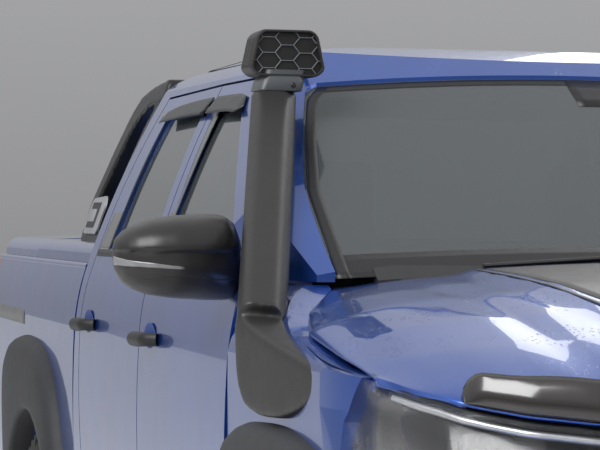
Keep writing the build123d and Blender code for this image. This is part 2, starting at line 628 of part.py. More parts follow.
def mirrors():
    """Door mirrors, each a shell on a short arm from the door's front corner."""
    plan = [(902, 640), (930, 574, 8), (1010, 546, 6), (1084, 572, 8), (1118, 640, 10), (1104, 686, 4), (906, 694)]
    front = [(902, 1284), (916, 1244, 8), (1040, 1236, 3), (1104, 1262, 6), (1118, 1322, 6), (1094, 1370, 8),
             (1030, 1400, 7), (940, 1404, 2), (902, 1376, 8)]
    shell = prism_z(plan, 1200, 1420) & prism_y(front, 400, 800)
    arm = block(780, 930, 652, 690, 1268, 1304) - cab_solid(-SEAT_GAP)
    mirror_left = fuse([shell, arm])
    place("mirror_left", mirror_left)
    place("mirror_right", mirror(mirror_left, about=Plane.YZ))


# Ladder frame. Side outline columns: y, z.
RAIL_W = 68
RAIL_FRONT_X = 344
RAIL_REAR_X = 402
RAIL_LOW_Z = 338
RAIL_TOP_Z = 464
FRONT_RAIL = [(-700, 400), (-420, 400), (-300, 448), (260, 448), (420, RAIL_LOW_Z + 34), (900, RAIL_LOW_Z),
              (900, RAIL_TOP_Z), (428, RAIL_TOP_Z), (300, 560), (-300, 560), (-420, 520), (-700, 520)]
FRAME_END_Y = WHEELBASE + 1151
REAR_RAIL = [(640, RAIL_LOW_Z), (WHEELBASE - 555, RAIL_LOW_Z), (WHEELBASE - 315, 520), (WHEELBASE + 335, 520),
             (WHEELBASE + 475, 500), (FRAME_END_Y, 500), (FRAME_END_Y, 620), (WHEELBASE + 475, 620),
             (WHEELBASE + 335, 640), (WHEELBASE - 385, 640), (WHEELBASE - 605, RAIL_TOP_Z), (640, RAIL_TOP_Z)]
SPARE_Y = WHEELBASE + 715
HANGERS_Y = (-240, 180)
CAB_MOUNTS_Y = (760, 1480, 2300)
TUB_MOUNTS_Y = (WHEELBASE - 325, WHEELBASE + 295, WHEELBASE + 955)
# Cross members. Columns: station, low height, high height, length along Y.
CROSS_MEMBERS = [
    (-665, 410, 510, 60), (HANGERS_Y[0], 300, 372, 150), (HANGERS_Y[1], 300, 372, 120), (1180, RAIL_LOW_Z, 392, 90),
    (2050, 428, RAIL_TOP_Z, 70), (WHEELBASE - 305, 540, 620, 70), (WHEELBASE + 395, 530, 610, 70),
    (SPARE_Y, 540, 610, 60), (FRAME_END_Y - 31, 510, 600, 60),
]
SPARE_Z = 500 - TYRE_W / 2 - SEAT_GAP
HOOK_X = 378
HOOK_Y = -688
HOOK_Z = 312
HOOK_HOLE_R = 13


def ladder_frame():
    """Two rails splayed behind the engine, the cross members set between them, and the recovery eyes."""
    rail = [prism_x(side, x, x + RAIL_W) for side, x in ((FRONT_RAIL, RAIL_FRONT_X), (REAR_RAIL, RAIL_REAR_X))]
    for y in HANGERS_Y:
        rail.append(block(RAIL_FRONT_X, RAIL_FRONT_X + RAIL_W, y - 55, y + 55, 330, 470))
    for y in CAB_MOUNTS_Y:
        rail.append(block(RAIL_REAR_X, RAIL_REAR_X + RAIL_W, y - 45, y + 45, RAIL_TOP_Z - 4,
                          SILL_Z - 5 - SEAT_GAP))
    for y in TUB_MOUNTS_Y:
        rail.append(block(RAIL_REAR_X + 4, RAIL_REAR_X + RAIL_W - 4, y - 40, y + 40, 600,
                          TUB_FLOOR_Z - TUB_FLOOR_T - SEAT_GAP))
    eye = prism_x([(-720, 405), (-600, 405), (-650, 300), (-672, 278, 8), (-720, 296, 8)], HOOK_X - 10, HOOK_X + 10)
    rail.append(eye - drum(HOOK_X - 20, HOOK_X + 20, HOOK_Y, HOOK_Z, HOOK_HOLE_R))
    frame = pair(fuse(rail))
    for y, z0, z1, depth in CROSS_MEMBERS:
        reach = (RAIL_FRONT_X if y < REAR_RAIL[0][0] else RAIL_REAR_X) - SEAT_GAP
        member = block(-reach, reach, y - depth / 2, y + depth / 2, z0, z1)
        if y == SPARE_Y:
            member = member + rod((0, SPARE_Y, 560), (0, SPARE_Y, SPARE_Z + 12 + SEAT_GAP), 16)
        frame.append(member)
    place("ladder_frame", frame)


def engine_block():
    """Engine and gearbox as plain blocks on their mounts."""
    engine = block(-250, 250, -360, 300, 440, 1010) + block(-140, 140, 290, 1100, 400, RAIL_TOP_Z)
    mounts = block(-RAIL_FRONT_X + SEAT_GAP, RAIL_FRONT_X - SEAT_GAP, -110, -10, 470, 540)
    place("engine_block", engine + mounts)


LOWER_BALL_Z = AXLE_Z - 130
UPPER_BALL_Z = AXLE_Z + 150
ARM_IN_X = RAIL_FRONT_X + RAIL_W


def front_suspension():
    """Lower and upper arms with the struts between them, and the driven front shafts."""
    low = prism_z([(ARM_IN_X + SEAT_GAP, -190), (ARM_IN_X + SEAT_GAP, 190), (KINGPIN_X - 40, 34),
                   (KINGPIN_X + 18, 30), (KINGPIN_X + 18, -30), (KINGPIN_X - 40, -34)],
                  LOWER_BALL_Z - 22, LOWER_BALL_Z + 16)
    low = low + block(ARM_IN_X + SEAT_GAP, ARM_IN_X + 40, -190, 190, LOWER_BALL_Z - 20, 316)
    low = low + block(ARM_IN_X + SEAT_GAP, ARM_IN_X + 40, 130, 190, 300, 345)
    up = prism_z([(ARM_IN_X + SEAT_GAP, -120), (ARM_IN_X + SEAT_GAP, 120), (KINGPIN_X - 44, 26),
                  (KINGPIN_X + 14, 22), (KINGPIN_X + 14, -22), (KINGPIN_X - 44, -26)],
                 UPPER_BALL_Z - 12, UPPER_BALL_Z + 12)
    up = up - block(440, 566, 20, 140, 0, WIDE)
    strut = rod((540, 72, LOWER_BALL_Z + 10), (486, 72, 690), 40)
    tower = block(ARM_IN_X - 50, 530, 22, 122, 640, 700) + block(ARM_IN_X - 50, ARM_IN_X, 22, 122, 560.3, 660)
    place("front_suspension", pair(fuse([low, strut, tower])) + pair(up))
    shaft = rod((0, 0, AXLE_Z), (KINGPIN_X - 38, 0, AXLE_Z), 16)
    carrier = block(-100, 100, 60, 120 - SEAT_GAP, 318, 360)
    place("front_drive", fuse(pair(shaft) + [drum(-120, 120, 0, AXLE_Z, 78), carrier]))


HUB_FACE = RIM_FACE_OUT - RIM_FACE_T - SEAT_GAP
TREAD_R = TYRE_D / 2
SIDE_R = TREAD_R - 66
LUG_H = 13
LUGS = 12
TYRE_SIDES = 32
GROOVE_R = TREAD_R - LUG_H
# One lug in side view. Columns: radius, place along the pitch.
LUG_ROWS = [(GROOVE_R, -0.34), (TREAD_R, -0.27), (TREAD_R, 0.27), (GROOVE_R, 0.34)]


def lug_band(x0, x1, turn):
    """Half of the tread, a ring of lugs with flat tops between two planes across X."""
    points = []
    for i in range(LUGS):
        for radius, share in LUG_ROWS:
            angle = 2 * pi * (i + share + turn) / LUGS
            points.append((radius * cos(angle), radius * sin(angle)))
    return prism_x(points, x0, x1) - drum(-WIDE, WIDE, 0, 0, RIM_R + 60)


def tyre():
    """Tyre about the X axis, centred on the origin, its two rows of lugs staggered."""
    half = TYRE_W / 2
    tread = TREAD_W / 2
    bead = RIM_W / 2 - 6
    # Sidewall and shoulder. Columns: x, radius.
    right = [(tread, GROOVE_R - 8), (half, SIDE_R - 26), (bead, RIM_R + 9)]
    rows = [(-x, radius) for x, radius in reversed(right)] + right
    carcass = loft([Plane(origin=(x, 0, 0), x_dir=(0, 1, 0), z_dir=(1, 0, 0)) * RegularPolygon(radius, TYRE_SIDES)
                    for x, radius in rows], ruled=True)
    carcass = carcass - drum(-WIDE, WIDE, 0, 0, RIM_R + SEAT_GAP)
    return carcass + [lug_band(0, tread + 8, LUG_ROWS[2][1]), lug_band(-tread - 8, 0, LUG_ROWS[2][1] + 0.5)]


def rim():
    """Wheel about the X axis, its spoked face towards +X."""
    barrel = drum(-RIM_W / 2, RIM_W / 2, 0, 0, RIM_R) - drum(-200, 200, 0, 0, RIM_R - RIM_WALL)
    face = drum(RIM_FACE_OUT - RIM_FACE_T, RIM_FACE_OUT, 0, 0, RIM_R - RIM_WALL / 2)
    window = prism_x([(92, -14), (186, -52), (190, 0, 4), (186, 52, 4), (92, 14)], 0, 200)
    for i in range(SPOKES):
        face = face - Rot(360 / SPOKES * i, 0, 0) * window
    return barrel + face


def wheels():
    """Four tyres and rims, and the spare under the tub's rear."""
    one_tyre = tyre()
    one_rim = rim()
    for end, y, track in (("front", 0, TRACK_FRONT), ("rear", WHEELBASE, TRACK_REAR)):
        for side, sign in SIDES.items():
            at_wheel = Pos(sign * track / 2, y, AXLE_Z)
            turned = one_rim if sign > 0 else mirror(one_rim, about=Plane.YZ)
            place(f"tyre_{end}_{side}", at_wheel * one_tyre)
            place(f"rim_{end}_{side}", at_wheel * turned)
    disc = drum(-12, 12, 0, 0, RIM_R + 4)
    place("spare_wheel", Pos(0, SPARE_Y, SPARE_Z) * Rot(0, 90, 0) * (one_tyre + disc))


def knuckles():
    """Steering knuckles, each with its hub, disc and caliper."""
    hub_x = TRACK_FRONT / 2 + HUB_FACE
    knuckle = block(KINGPIN_X - 14, KINGPIN_X + 14, -34, 34, LOWER_BALL_Z + 16 + SEAT_GAP,
                    UPPER_BALL_Z - 12 - SEAT_GAP)
    knuckle = knuckle + drum(KINGPIN_X - 18, hub_x, 0, AXLE_Z, HUB_R)
    knuckle = knuckle + drum(hub_x - 44, hub_x - 20, 0, AXLE_Z, BRAKE_R)
    caliper = drum(KINGPIN_X - 4, hub_x - 10, 0, AXLE_Z, BRAKE_R + 6)
    knuckle = knuckle + (caliper & block(0, WIDE, -170, -70, 0, WIDE))
    place("knuckle_left", knuckle)
    place("knuckle_right", mirror(knuckle, about=Plane.YZ))


def rear_axle():
    """Live axle with its differential, drums, hubs and propeller shaft."""
    hub_x = TRACK_REAR / 2 + HUB_FACE
    axle = [rod((-hub_x, WHEELBASE, AXLE_Z), (hub_x, WHEELBASE, AXLE_Z), 44)]
    axle.append(drum(-110, 110, WHEELBASE, AXLE_Z, 128))
    for end in pair(drum(hub_x - 90, hub_x, WHEELBASE, AXLE_Z, HUB_R)):
        axle.append(end)
    for brake in pair(drum(hub_x - 74, hub_x - 20, WHEELBASE, AXLE_Z, BRAKE_R)):
        axle.append(brake)
    axle.append(rod((0, 1104, 432), (0, WHEELBASE - 60, AXLE_Z), 32))
    place("rear_axle", fuse(axle))


SPRING_X = 520
SPRING_W = 62
SPRING_FRONT_Y = WHEELBASE - 579
SPRING_REAR_Y = WHEELBASE + 660


def leaf_springs():
    """A spring over each end of the axle, hung from the frame, with a damper beside it."""
    spring = prism_x([(SPRING_FRONT_Y, 452), (WHEELBASE, AXLE_Z + 44.3, 34), (SPRING_REAR_Y, 470, 34),
                      (SPRING_REAR_Y, 492), (WHEELBASE, AXLE_Z + 84, -34), (SPRING_FRONT_Y, 474, -34)],
                     SPRING_X - SPRING_W / 2, SPRING_X + SPRING_W / 2)
    in_x = RAIL_REAR_X + RAIL_W + SEAT_GAP
    front = block(in_x, SPRING_X + 36, SPRING_FRONT_Y - 26, SPRING_FRONT_Y + 20, 430, 500)
    rear = block(in_x, SPRING_X + 36, SPRING_REAR_Y - 20, SPRING_REAR_Y + 26, 455, 560)
    place("leaf_springs", pair(fuse([spring, front, rear])))


EXHAUST_X = -220
EXHAUST_Z = 296


def tank_and_exhaust():
    """Fuel tank inside the left rail, and the exhaust with its hangers and side outlet."""
    place("fuel_tank", block(96, RAIL_REAR_X - SEAT_GAP, 1260, 1980, 230, RAIL_TOP_Z - 4))
    route = FilletPolyline((EXHAUST_X, 1000, EXHAUST_Z), (EXHAUST_X, WHEELBASE - 755, EXHAUST_Z),
                           (-720, WHEELBASE - 525, EXHAUST_Z), radius=120)
    pipe = [sweep(Plane(origin=(EXHAUST_X, 1000, EXHAUST_Z), z_dir=(0, 1, 0)) * Circle(30), path=route)]
    pipe.append(rod((EXHAUST_X, 1420, EXHAUST_Z), (EXHAUST_X, 1960, EXHAUST_Z), 84))
    for y, top in ((1180, RAIL_LOW_Z), (2050, 428)):
        pipe.append(block(EXHAUST_X - 10, EXHAUST_X + 10, y - 10, y + 10, EXHAUST_Z, top - SEAT_GAP))
    place("exhaust", fuse(pipe))


TONGUE_T = 16
TONGUE_HOLE_R = 11
TONGUE_Z = 500
TONGUE_Y = TAIL_Y - 32


def steps_and_rear_bumper():
    """Side steps on their brackets, and the rear step bumper with the tow tongue."""
    step = block(SILL_X - 60, SILL_X + 44, 640, 2300, 372, 420)
    for y in (820, 1500, 2180):
        step = step + block(RAIL_REAR_X + RAIL_W + SEAT_GAP, SILL_X - 40, y - 30, y + 30, 380, 412)
    place("side_steps", pair(step))
    ends = FRAME_END_Y - 124
    face = FRAME_END_Y + 44
    bumper = prism_z([(-880, ends), (-712, ends), (-712, face - 30), (712, face - 30), (712, ends), (880, ends),
                      (890, face - 54, 6), (840, face, 14), (-840, face, 8), (-890, face - 54, 14)], 430, 540)
    bumper = bumper + block(-700, 700, face - 32, face - 4, 538, 606)
    bumper = bumper + block(-RAIL_REAR_X - RAIL_W, RAIL_REAR_X + RAIL_W, FRAME_END_Y + SEAT_GAP, face - 20, 500, 600)
    bumper = bumper + block(-32, 32, face - 40, TAIL_Y, TONGUE_Z, TONGUE_Z + TONGUE_T)
    bumper = bumper - rod((0, TONGUE_Y, 450), (0, TONGUE_Y, 560), TONGUE_HOLE_R)
    place("rear_bumper", bumper)


DRIVER_X = -370
SEAT_SIDE = [(1180, 700), (1640, 690), (1800, 700), (1900, 1300, 12), (1800, 1330), (1660, 860, -16),
             (1200, 880, 10)]


def cabin():
    """Dashboard with the steering wheel on the right, two front seats and a rear bench."""
    dash = prism_x([(FIREWALL_Y + ROOF_WALL + SEAT_GAP, 900), (820, 900), (840, 1040), (780, 1180, 10),
                    (540, 1200, 8), (FIREWALL_Y + ROOF_WALL + SEAT_GAP, 1180)], -690, 690)
    column = rod((DRIVER_X, 800, 1060), (DRIVER_X, 940, 1110), 26)
    wheel_plane = Plane(origin=(DRIVER_X, 950, 1114), z_dir=(0, 140, 50))
    steering = wheel_plane * (Torus(178, 15) + Cylinder(56, 30) + Box(330, 36, 14))
    place("dashboard", fuse([dash, column, steering]))
    seats = []
    for x in (DRIVER_X, -DRIVER_X):
        seat = prism_x(SEAT_SIDE, x - 250, x + 250)
        seat = seat + block(x - 220, x + 220, 1240, 1740, FLOOR_Z + SEAT_GAP, 720)
        rest = prism_x([(1812, 1290), (1892, 1290), (1906, 1520, 8), (1840, 1530, 8)], x - 130, x + 130)
        seats.append(seat + rest)
    bench = [(2010, FLOOR_Z + SEAT_GAP), (2340, FLOOR_Z + SEAT_GAP), (2395, 1300), (2300, 1320, 6),
             (2230, 900, -10), (1990, 900, 6)]
    seats.append(prism_x(bench, -660, 660))
    place("seats", seats)


bonnet()
front_guards()
grille_and_lamps()
front_bumper()
cab_shell()
cab_glass()
doors()
cowl()
tub()
tailgate()
load_cover()
sports_bar()
arch_flares()
snorkel()
mirrors()
ladder_frame()
engine_block()
front_suspension()
wheels()
knuckles()
rear_axle()
leaf_springs()
tank_and_exhaust()
steps_and_rear_bumper()
cabin()
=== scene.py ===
import json
import math
import bpy
import bmesh
from mathutils import Matrix, Vector


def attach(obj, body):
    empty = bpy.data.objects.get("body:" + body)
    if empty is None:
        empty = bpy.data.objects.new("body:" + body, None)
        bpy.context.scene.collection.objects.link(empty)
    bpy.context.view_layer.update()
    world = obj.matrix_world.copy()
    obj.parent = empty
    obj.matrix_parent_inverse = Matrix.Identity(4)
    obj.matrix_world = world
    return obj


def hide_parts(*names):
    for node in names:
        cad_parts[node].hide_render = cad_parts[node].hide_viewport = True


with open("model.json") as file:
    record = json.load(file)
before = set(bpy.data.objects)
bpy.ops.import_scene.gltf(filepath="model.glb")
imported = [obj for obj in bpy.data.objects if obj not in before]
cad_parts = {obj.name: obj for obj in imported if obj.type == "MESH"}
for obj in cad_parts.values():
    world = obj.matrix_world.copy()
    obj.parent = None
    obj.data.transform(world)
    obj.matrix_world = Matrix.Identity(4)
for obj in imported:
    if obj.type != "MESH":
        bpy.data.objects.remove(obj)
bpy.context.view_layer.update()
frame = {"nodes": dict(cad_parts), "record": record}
NODES = frame["nodes"]

# Working frame of the CAD: millimetres, Y behind the front axle, Z on the standard vehicle
AXLE_Y = -1.680
RISE = 0.077
WHEELBASE = 3085
SIDES = (("left", 1), ("right", -1))


def P(x, y, z):
    """Point of the CAD's working frame, in the model's frame and in metres."""
    return Vector((x / 1000, y / 1000 + AXLE_Y, z / 1000 + RISE))


def linked(name, data):
    """New object in the scene, from its data."""
    obj = bpy.data.objects.new(name, data)
    bpy.context.scene.collection.objects.link(obj)
    return obj


# Camera at the photograph's place: its point in metres, its yaw, pitch and roll, and its focal length
CAMERA_AT = (-2.054, -6.269, 1.461)
CAMERA_TURN = (0.247, -0.002, 0.009)
FOCAL_PIXELS = 2646
PHOTO_WIDTH = 600
SENSOR_WIDTH = 36


def make_camera():
    """Camera that frames the vehicle as the photograph does."""
    yaw, pitch, roll = CAMERA_TURN
    ahead = Vector((math.sin(yaw) * math.cos(pitch), math.cos(yaw) * math.cos(pitch), math.sin(pitch)))
    level = Vector((math.cos(yaw), -math.sin(yaw), 0))
    above = level.cross(ahead)
    right = math.cos(roll) * level + math.sin(roll) * above
    up = -math.sin(roll) * level + math.cos(roll) * above
    data = bpy.data.cameras.new("camera")
    data.sensor_width = SENSOR_WIDTH
    data.lens = FOCAL_PIXELS * SENSOR_WIDTH / PHOTO_WIDTH
    data.clip_end = 200
    camera = linked("camera", data)
    turn = Matrix((right, up, -ahead)).transposed()
    camera.matrix_world = Matrix.Translation(CAMERA_AT) @ turn.to_4x4()
    bpy.context.scene.camera = camera


# Materials
class Nodes:
    """Short calls for one material's node tree."""

    def __init__(self, name):
        self.mat = bpy.data.materials.new(name)
        self.mat.use_nodes = True
        self.tree = self.mat.node_tree
        self.bsdf = self.tree.nodes["Principled BSDF"]
        self.coord = self.add("ShaderNodeTexCoord").outputs["Object"]

    def add(self, kind, **values):
        """New node, with its sockets and settings by name."""
        node = self.tree.nodes.new(kind)
        for key, value in values.items():
            socket = key.replace("_", " ")
            if socket in node.inputs.keys():
                node.inputs[socket].default_value = value
            else:
                setattr(node, key, value)
        return node

    def link(self, a, b):
        self.tree.links.new(a, b)

    def noise(self, scale, detail=3.0, rough=0.5):
        node = self.add("ShaderNodeTexNoise", Scale=scale, Detail=detail, Roughness=rough)
        self.link(self.coord, node.inputs["Vector"])
        return node.outputs["Fac"]

    def cells(self, scale, scatter=1.0):
        """Distance to the nearest of scattered points."""
        node = self.add("ShaderNodeTexVoronoi", Scale=scale, Randomness=scatter)
        self.link(self.coord, node.inputs["Vector"])
        return node.outputs["Distance"]

    def ramp(self, source, stops):
        """Colours or grey values between two stops."""
        node = self.add("ShaderNodeValToRGB")
        for i, (at, value) in enumerate(stops):
            colour = (value, value, value, 1) if isinstance(value, (int, float)) else (*value, 1)
            stop = node.color_ramp.elements[i]
            stop.position = at
            stop.color = colour
        self.link(source, node.inputs["Fac"])
        return node.outputs["Color"]

    def span(self, source, low, high):
        node = self.add("ShaderNodeMapRange", To_Min=low, To_Max=high)
        self.link(source, node.inputs["Value"])
        return node.outputs["Result"]

    def times(self, a, b):
        node = self.add("ShaderNodeMath", operation="MULTIPLY")
        self.link(a, node.inputs[0])
        self.link(b, node.inputs[1])
        return node.outputs[0]

    def bump(self, source, strength, distance):
        node = self.add("ShaderNodeBump", Strength=strength, Distance=distance)
        self.link(source, node.inputs["Height"])
        return node.outputs["Normal"]

    def set(self, **values):
        for key, value in values.items():
            socket = self.bsdf.inputs[key.replace("_", " ")]
            if isinstance(value, bpy.types.NodeSocket):
                self.link(value, socket)
            elif isinstance(value, tuple) and len(value) == 3:
                socket.default_value = (*value, 1)
            else:
                socket.default_value = value
        return self.mat


def painted(name, base, dark):
    """Metallic paint under a clear coat, with water drops on faces that look up."""
    n = Nodes(name)
    tone = n.ramp(n.noise(3, 2), [(0.3, dark), (0.7, base)])
    normal = n.bump(n.cells(2600), 0.05, 0.0004)
    rough = n.span(n.noise(9, 4), 0.26, 0.34)
    n.set(Base_Color=tone, Metallic=0.75, Roughness=rough, Normal=normal, Coat_Weight=1.0,
          Coat_Roughness=0.03)
    n.link(drop_normal(n), n.bsdf.inputs["Coat Normal"])
    return n.mat


def drop_normal(n):
    """Normal of water drops that stand on faces that look up."""
    dome = n.ramp(n.cells(110, 0.9), [(0.10, 1.0), (0.30, 0.0)])
    patches = n.ramp(n.noise(14, 2), [(0.5, 0.0), (0.62, 1.0)])
    geometry = n.add("ShaderNodeNewGeometry")
    split = n.add("ShaderNodeSeparateXYZ")
    n.link(geometry.outputs["Normal"], split.inputs["Vector"])
    top = n.ramp(split.outputs["Z"], [(0.75, 0.0), (0.95, 1.0)])
    return n.bump(n.times(n.times(dome, patches), top), 0.6, 0.0012)


def plastic(name, base, rough, grain=900, strength=0.25, uneven=0.25, coat=0.0):
    """Moulded plastic with a fine grain and a slightly uneven sheen."""
    n = Nodes(name)
    worn = tuple(min(1, c * (1 + uneven)) for c in base)
    tone = n.ramp(n.noise(7, 5, 0.6), [(0.35, base), (0.75, worn)])
    normal = n.bump(n.noise(grain, 2), strength, 0.0004)
    sheen = n.span(n.noise(30, 3), rough - 0.06, rough + 0.06)
    return n.set(Base_Color=tone, Roughness=sheen, Normal=normal, Coat_Weight=coat, Coat_Roughness=0.2)


def metal(name, base, rough, grain=300, strength=0.1, metallic=1.0):
    """Cast, machined or coated metal."""
    n = Nodes(name)
    dark = tuple(c * 0.7 for c in base)
    tone = n.ramp(n.noise(12, 5, 0.6), [(0.3, dark), (0.7, base)])
    normal = n.bump(n.noise(grain, 3), strength, 0.0005)
    sheen = n.span(n.noise(40, 3), rough - 0.05, rough + 0.08)
    return n.set(Base_Color=tone, Metallic=metallic, Roughness=sheen, Normal=normal)


def rubber(name, base):
    """Tyre or seal rubber."""
    n = Nodes(name)
    dusty = tuple(c * 1.9 for c in base)
    tone = n.ramp(n.noise(5, 6, 0.65), [(0.4, base), (0.8, dusty)])
    normal = n.bump(n.noise(420, 3), 0.2, 0.0006)
    return n.set(Base_Color=tone, Roughness=n.span(n.noise(16, 3), 0.72, 0.9), Normal=normal)


def glazing(name, tint, clear, index, alpha):
    """Tinted glass: it transmits and mirrors."""
    n = Nodes(name)
    return n.set(Base_Color=tint, Roughness=0.02, Transmission_Weight=clear, IOR=index, Coat_Weight=0.25,
                 Coat_Roughness=0.02, Alpha=alpha)


def fabric(name, base):
    """Woven seat cloth."""
    n = Nodes(name)
    wave = n.add("ShaderNodeTexWave", Scale=160, Distortion=2)
    n.link(n.coord, wave.inputs["Vector"])
    light = tuple(c * 1.7 for c in base)
    tone = n.ramp(n.noise(20, 5), [(0.3, base), (0.7, light)])
    normal = n.bump(wave.outputs["Fac"], 0.4, 0.0008)
    return n.set(Base_Color=tone, Roughness=0.9, Normal=normal, Sheen_Weight=0.3)


# Columns: base colour, roughness, then grain, bump, unevenness of tone and clear coat where they differ
PLASTICS = {
    "dark_plastic": ((0.016, 0.016, 0.017), 0.5),
    "flare_plastic": ((0.020, 0.021, 0.024), 0.6, 700, 0.35),
    "snorkel_plastic": ((0.015, 0.0145, 0.015), 0.45, 1200, 0.3),
    "mirror_shell": ((0.014, 0.013, 0.013), 0.34, 1400, 0.2),
    # Near-black: painted shade inside the snorkel's head, and the real dark seam of the mirrors and strip
    # under the bonnet's edge
    "throat_black": ((0.003, 0.003, 0.003), 0.6, 900, 0.1),
    "indicator": ((0.12, 0.12, 0.125), 0.16, 260, 0.5, 1.2, 0.6),
    "trim_plastic": ((0.02, 0.02, 0.021), 0.6),
    "protector_acrylic": ((0.010, 0.007, 0.006), 0.12, 60, 0.02, 0.1, 1.0),
    "decal_matt": ((0.045, 0.043, 0.042), 0.42, 1500, 0.15, 0.15, 0.3),
    "rib_grey": ((0.16, 0.17, 0.18), 0.4, 1500, 0.1),
    "collar_grey": ((0.055, 0.06, 0.066), 0.4, 1500, 0.15),
    "frit_black": ((0.004, 0.004, 0.005), 0.42, 300, 0.01, 0.1),
    "trim_gloss": ((0.008, 0.008, 0.009), 0.18, 300, 0.02, 0.1, 0.8),
    "shield_smoke": ((0.010, 0.011, 0.013), 0.38, 300, 0.02, 0.1),
    "handle_black": ((0.006, 0.006, 0.007), 0.5, 500, 0.05, 0.1),
    # Darker blue than the paint: painted shade of the handles' scoops, which are body-coloured
    "dish_shade": ((0.012, 0.045, 0.20), 0.55, 900, 0.05, 0.1),
    "lamp_dark": ((0.02, 0.02, 0.022), 0.25, 300, 0.05, 0.2, 0.5),
    "lamp_red": ((0.35, 0.008, 0.006), 0.12, 300, 0.02, 0.1, 1.0),
    "guide_white": ((0.75, 0.77, 0.8), 0.25, 300, 0.05, 0.05, 0.4),
    "plate_white": ((0.6, 0.6, 0.58), 0.35, 300, 0.05, 0.05),
    "stripe_grey": ((0.12, 0.12, 0.125), 0.4, 900, 0.05),
}
# Columns: base colour, roughness, grain, bump, and how metallic it is where it isn't wholly so
METALS = {
    "chassis_black": ((0.02, 0.02, 0.021), 0.45, 200, 0.2, 0.3),
    "engine_metal": ((0.16, 0.16, 0.16), 0.5, 160, 0.3),
    "bar_black": ((0.014, 0.014, 0.015), 0.38, 900, 0.3, 0.2),
    "exhaust_steel": ((0.32, 0.29, 0.26), 0.42, 120, 0.2),
    "rim_alloy": ((0.045, 0.045, 0.048), 0.32, 500, 0.08, 0.8),
    "mirror_silver": ((0.75, 0.77, 0.8), 0.05, 300, 0.0),
    "chrome": ((0.7, 0.71, 0.73), 0.12, 300, 0.02),
    "silver_paint": ((0.55, 0.56, 0.58), 0.3, 900, 0.05, 0.8),
}
# Names of the materials that aren't called as their slot is
OWN_NAMES = {"mirror_shell": "mirror_plastic", "trim_plastic": "cabin_plastic",
             "protector_acrylic": "smoke_acrylic", "dish_shade": "blue_shade",
             "chassis_black": "chassis_coat", "bar_black": "bar_coat"}


def make_materials():
    mats = {
        "body_paint": painted("blue_paint", (0.016, 0.085, 0.40), (0.012, 0.065, 0.33)),
        "tyre_rubber": rubber("tyre_rubber", (0.016, 0.016, 0.016)),
        "tinted_glass": glazing("tinted_glass", (0.20, 0.225, 0.235), 0.75, 1.3, 1.0),
        "lamp_lens": glazing("lamp_lens", (0.92, 0.95, 0.98), 0.95, 1.2, 0.12),
        "seat_fabric": fabric("seat_cloth", (0.02, 0.02, 0.023)),
    }
    for make, table in ((plastic, PLASTICS), (metal, METALS)):
        for name, row in table.items():
            mats[name] = make(OWN_NAMES.get(name, name), *row)
    return mats


def dress_nodes(mats):
    """Every CAD node takes the material of its slot in the record."""
    slots = {row["node"]: row["material_slot"] for row in frame["record"]["subparts"]}
    for name, obj in NODES.items():
        obj.data.materials.clear()
        obj.data.materials.append(mats[slots[name]])


# Studio lamps, aimed at one point. Columns: name, place in metres, size, power.
LAMPS = (("key", (-5.0, -3.5, 5.5), 4.0, 420),
         ("fill", (5.5, -2.0, 4.0), 5.0, 160),
         ("back", (4.6, 6.0, 4.8), 5.0, 150))
LAMPS_AIM = (0, 0, 0.8)
FLOOR_HALF = 60
# World's grey by height over the horizon, from 0 straight down to 1 straight up
SKY = ((0.46, (0.30, 0.30, 0.31, 1)), (0.75, (0.95, 0.96, 0.98, 1)))
SKY_STRENGTH = 0.75


def make_studio():
    """Pale floor, soft world light and three large soft lamps."""
    world = bpy.data.worlds.new("studio")
    bpy.context.scene.world = world
    world.use_nodes = True
    tree = world.node_tree
    back = tree.nodes["Background"]
    coord = tree.nodes.new("ShaderNodeTexCoord")
    split = tree.nodes.new("ShaderNodeSeparateXYZ")
    ramp = tree.nodes.new("ShaderNodeValToRGB")
    for stop, (at, colour) in zip(ramp.color_ramp.elements, SKY):
        stop.position = at
        stop.color = colour
    lift = tree.nodes.new("ShaderNodeMapRange")
    lift.inputs["From Min"].default_value = -1
    tree.links.new(coord.outputs["Generated"], split.inputs["Vector"])
    tree.links.new(split.outputs["Z"], lift.inputs["Value"])
    tree.links.new(lift.outputs["Result"], ramp.inputs["Fac"])
    tree.links.new(ramp.outputs["Color"], back.inputs["Color"])
    back.inputs["Strength"].default_value = SKY_STRENGTH
    for name, place, size, power in LAMPS:
        data = bpy.data.lights.new(name, "AREA")
        data.size = size
        data.energy = power
        light = linked(name, data)
        light.location = place
        light.rotation_mode = "QUATERNION"
        light.rotation_quaternion = (Vector(place) - Vector(LAMPS_AIM)).to_track_quat("Z", "Y")
    mesh = bpy.data.meshes.new("floor")
    corners = [(x * FLOOR_HALF, y * FLOOR_HALF, 0) for x, y in ((-1, -1), (1, -1), (1, 1), (-1, 1))]
    mesh.from_pydata(corners, [], [(0, 1, 2, 3)])
    floor = linked("floor", mesh)
    mesh.materials.append(Nodes("floor").set(Base_Color=(0.72, 0.72, 0.71), Roughness=0.8))
    bpy.context.scene.view_settings.view_transform = "Standard"


# Shapes
def lerp(a, b, s):
    return a + (b - a) * s


def ease(a, b, value):
    """0 below a, 1 above b, and a smooth step between them."""
    s = min(1, max(0, (value - a) / (b - a)))
    return s * s * (3 - 2 * s)


def along(rows, value):
    """Second column of a short table, read between its rows by its first column."""
    for (a, x), (b, y) in zip(rows, rows[1:]):
        if value <= b:
            return lerp(x, y, max(0, (value - a) / (b - a)))
    return rows[-1][1]


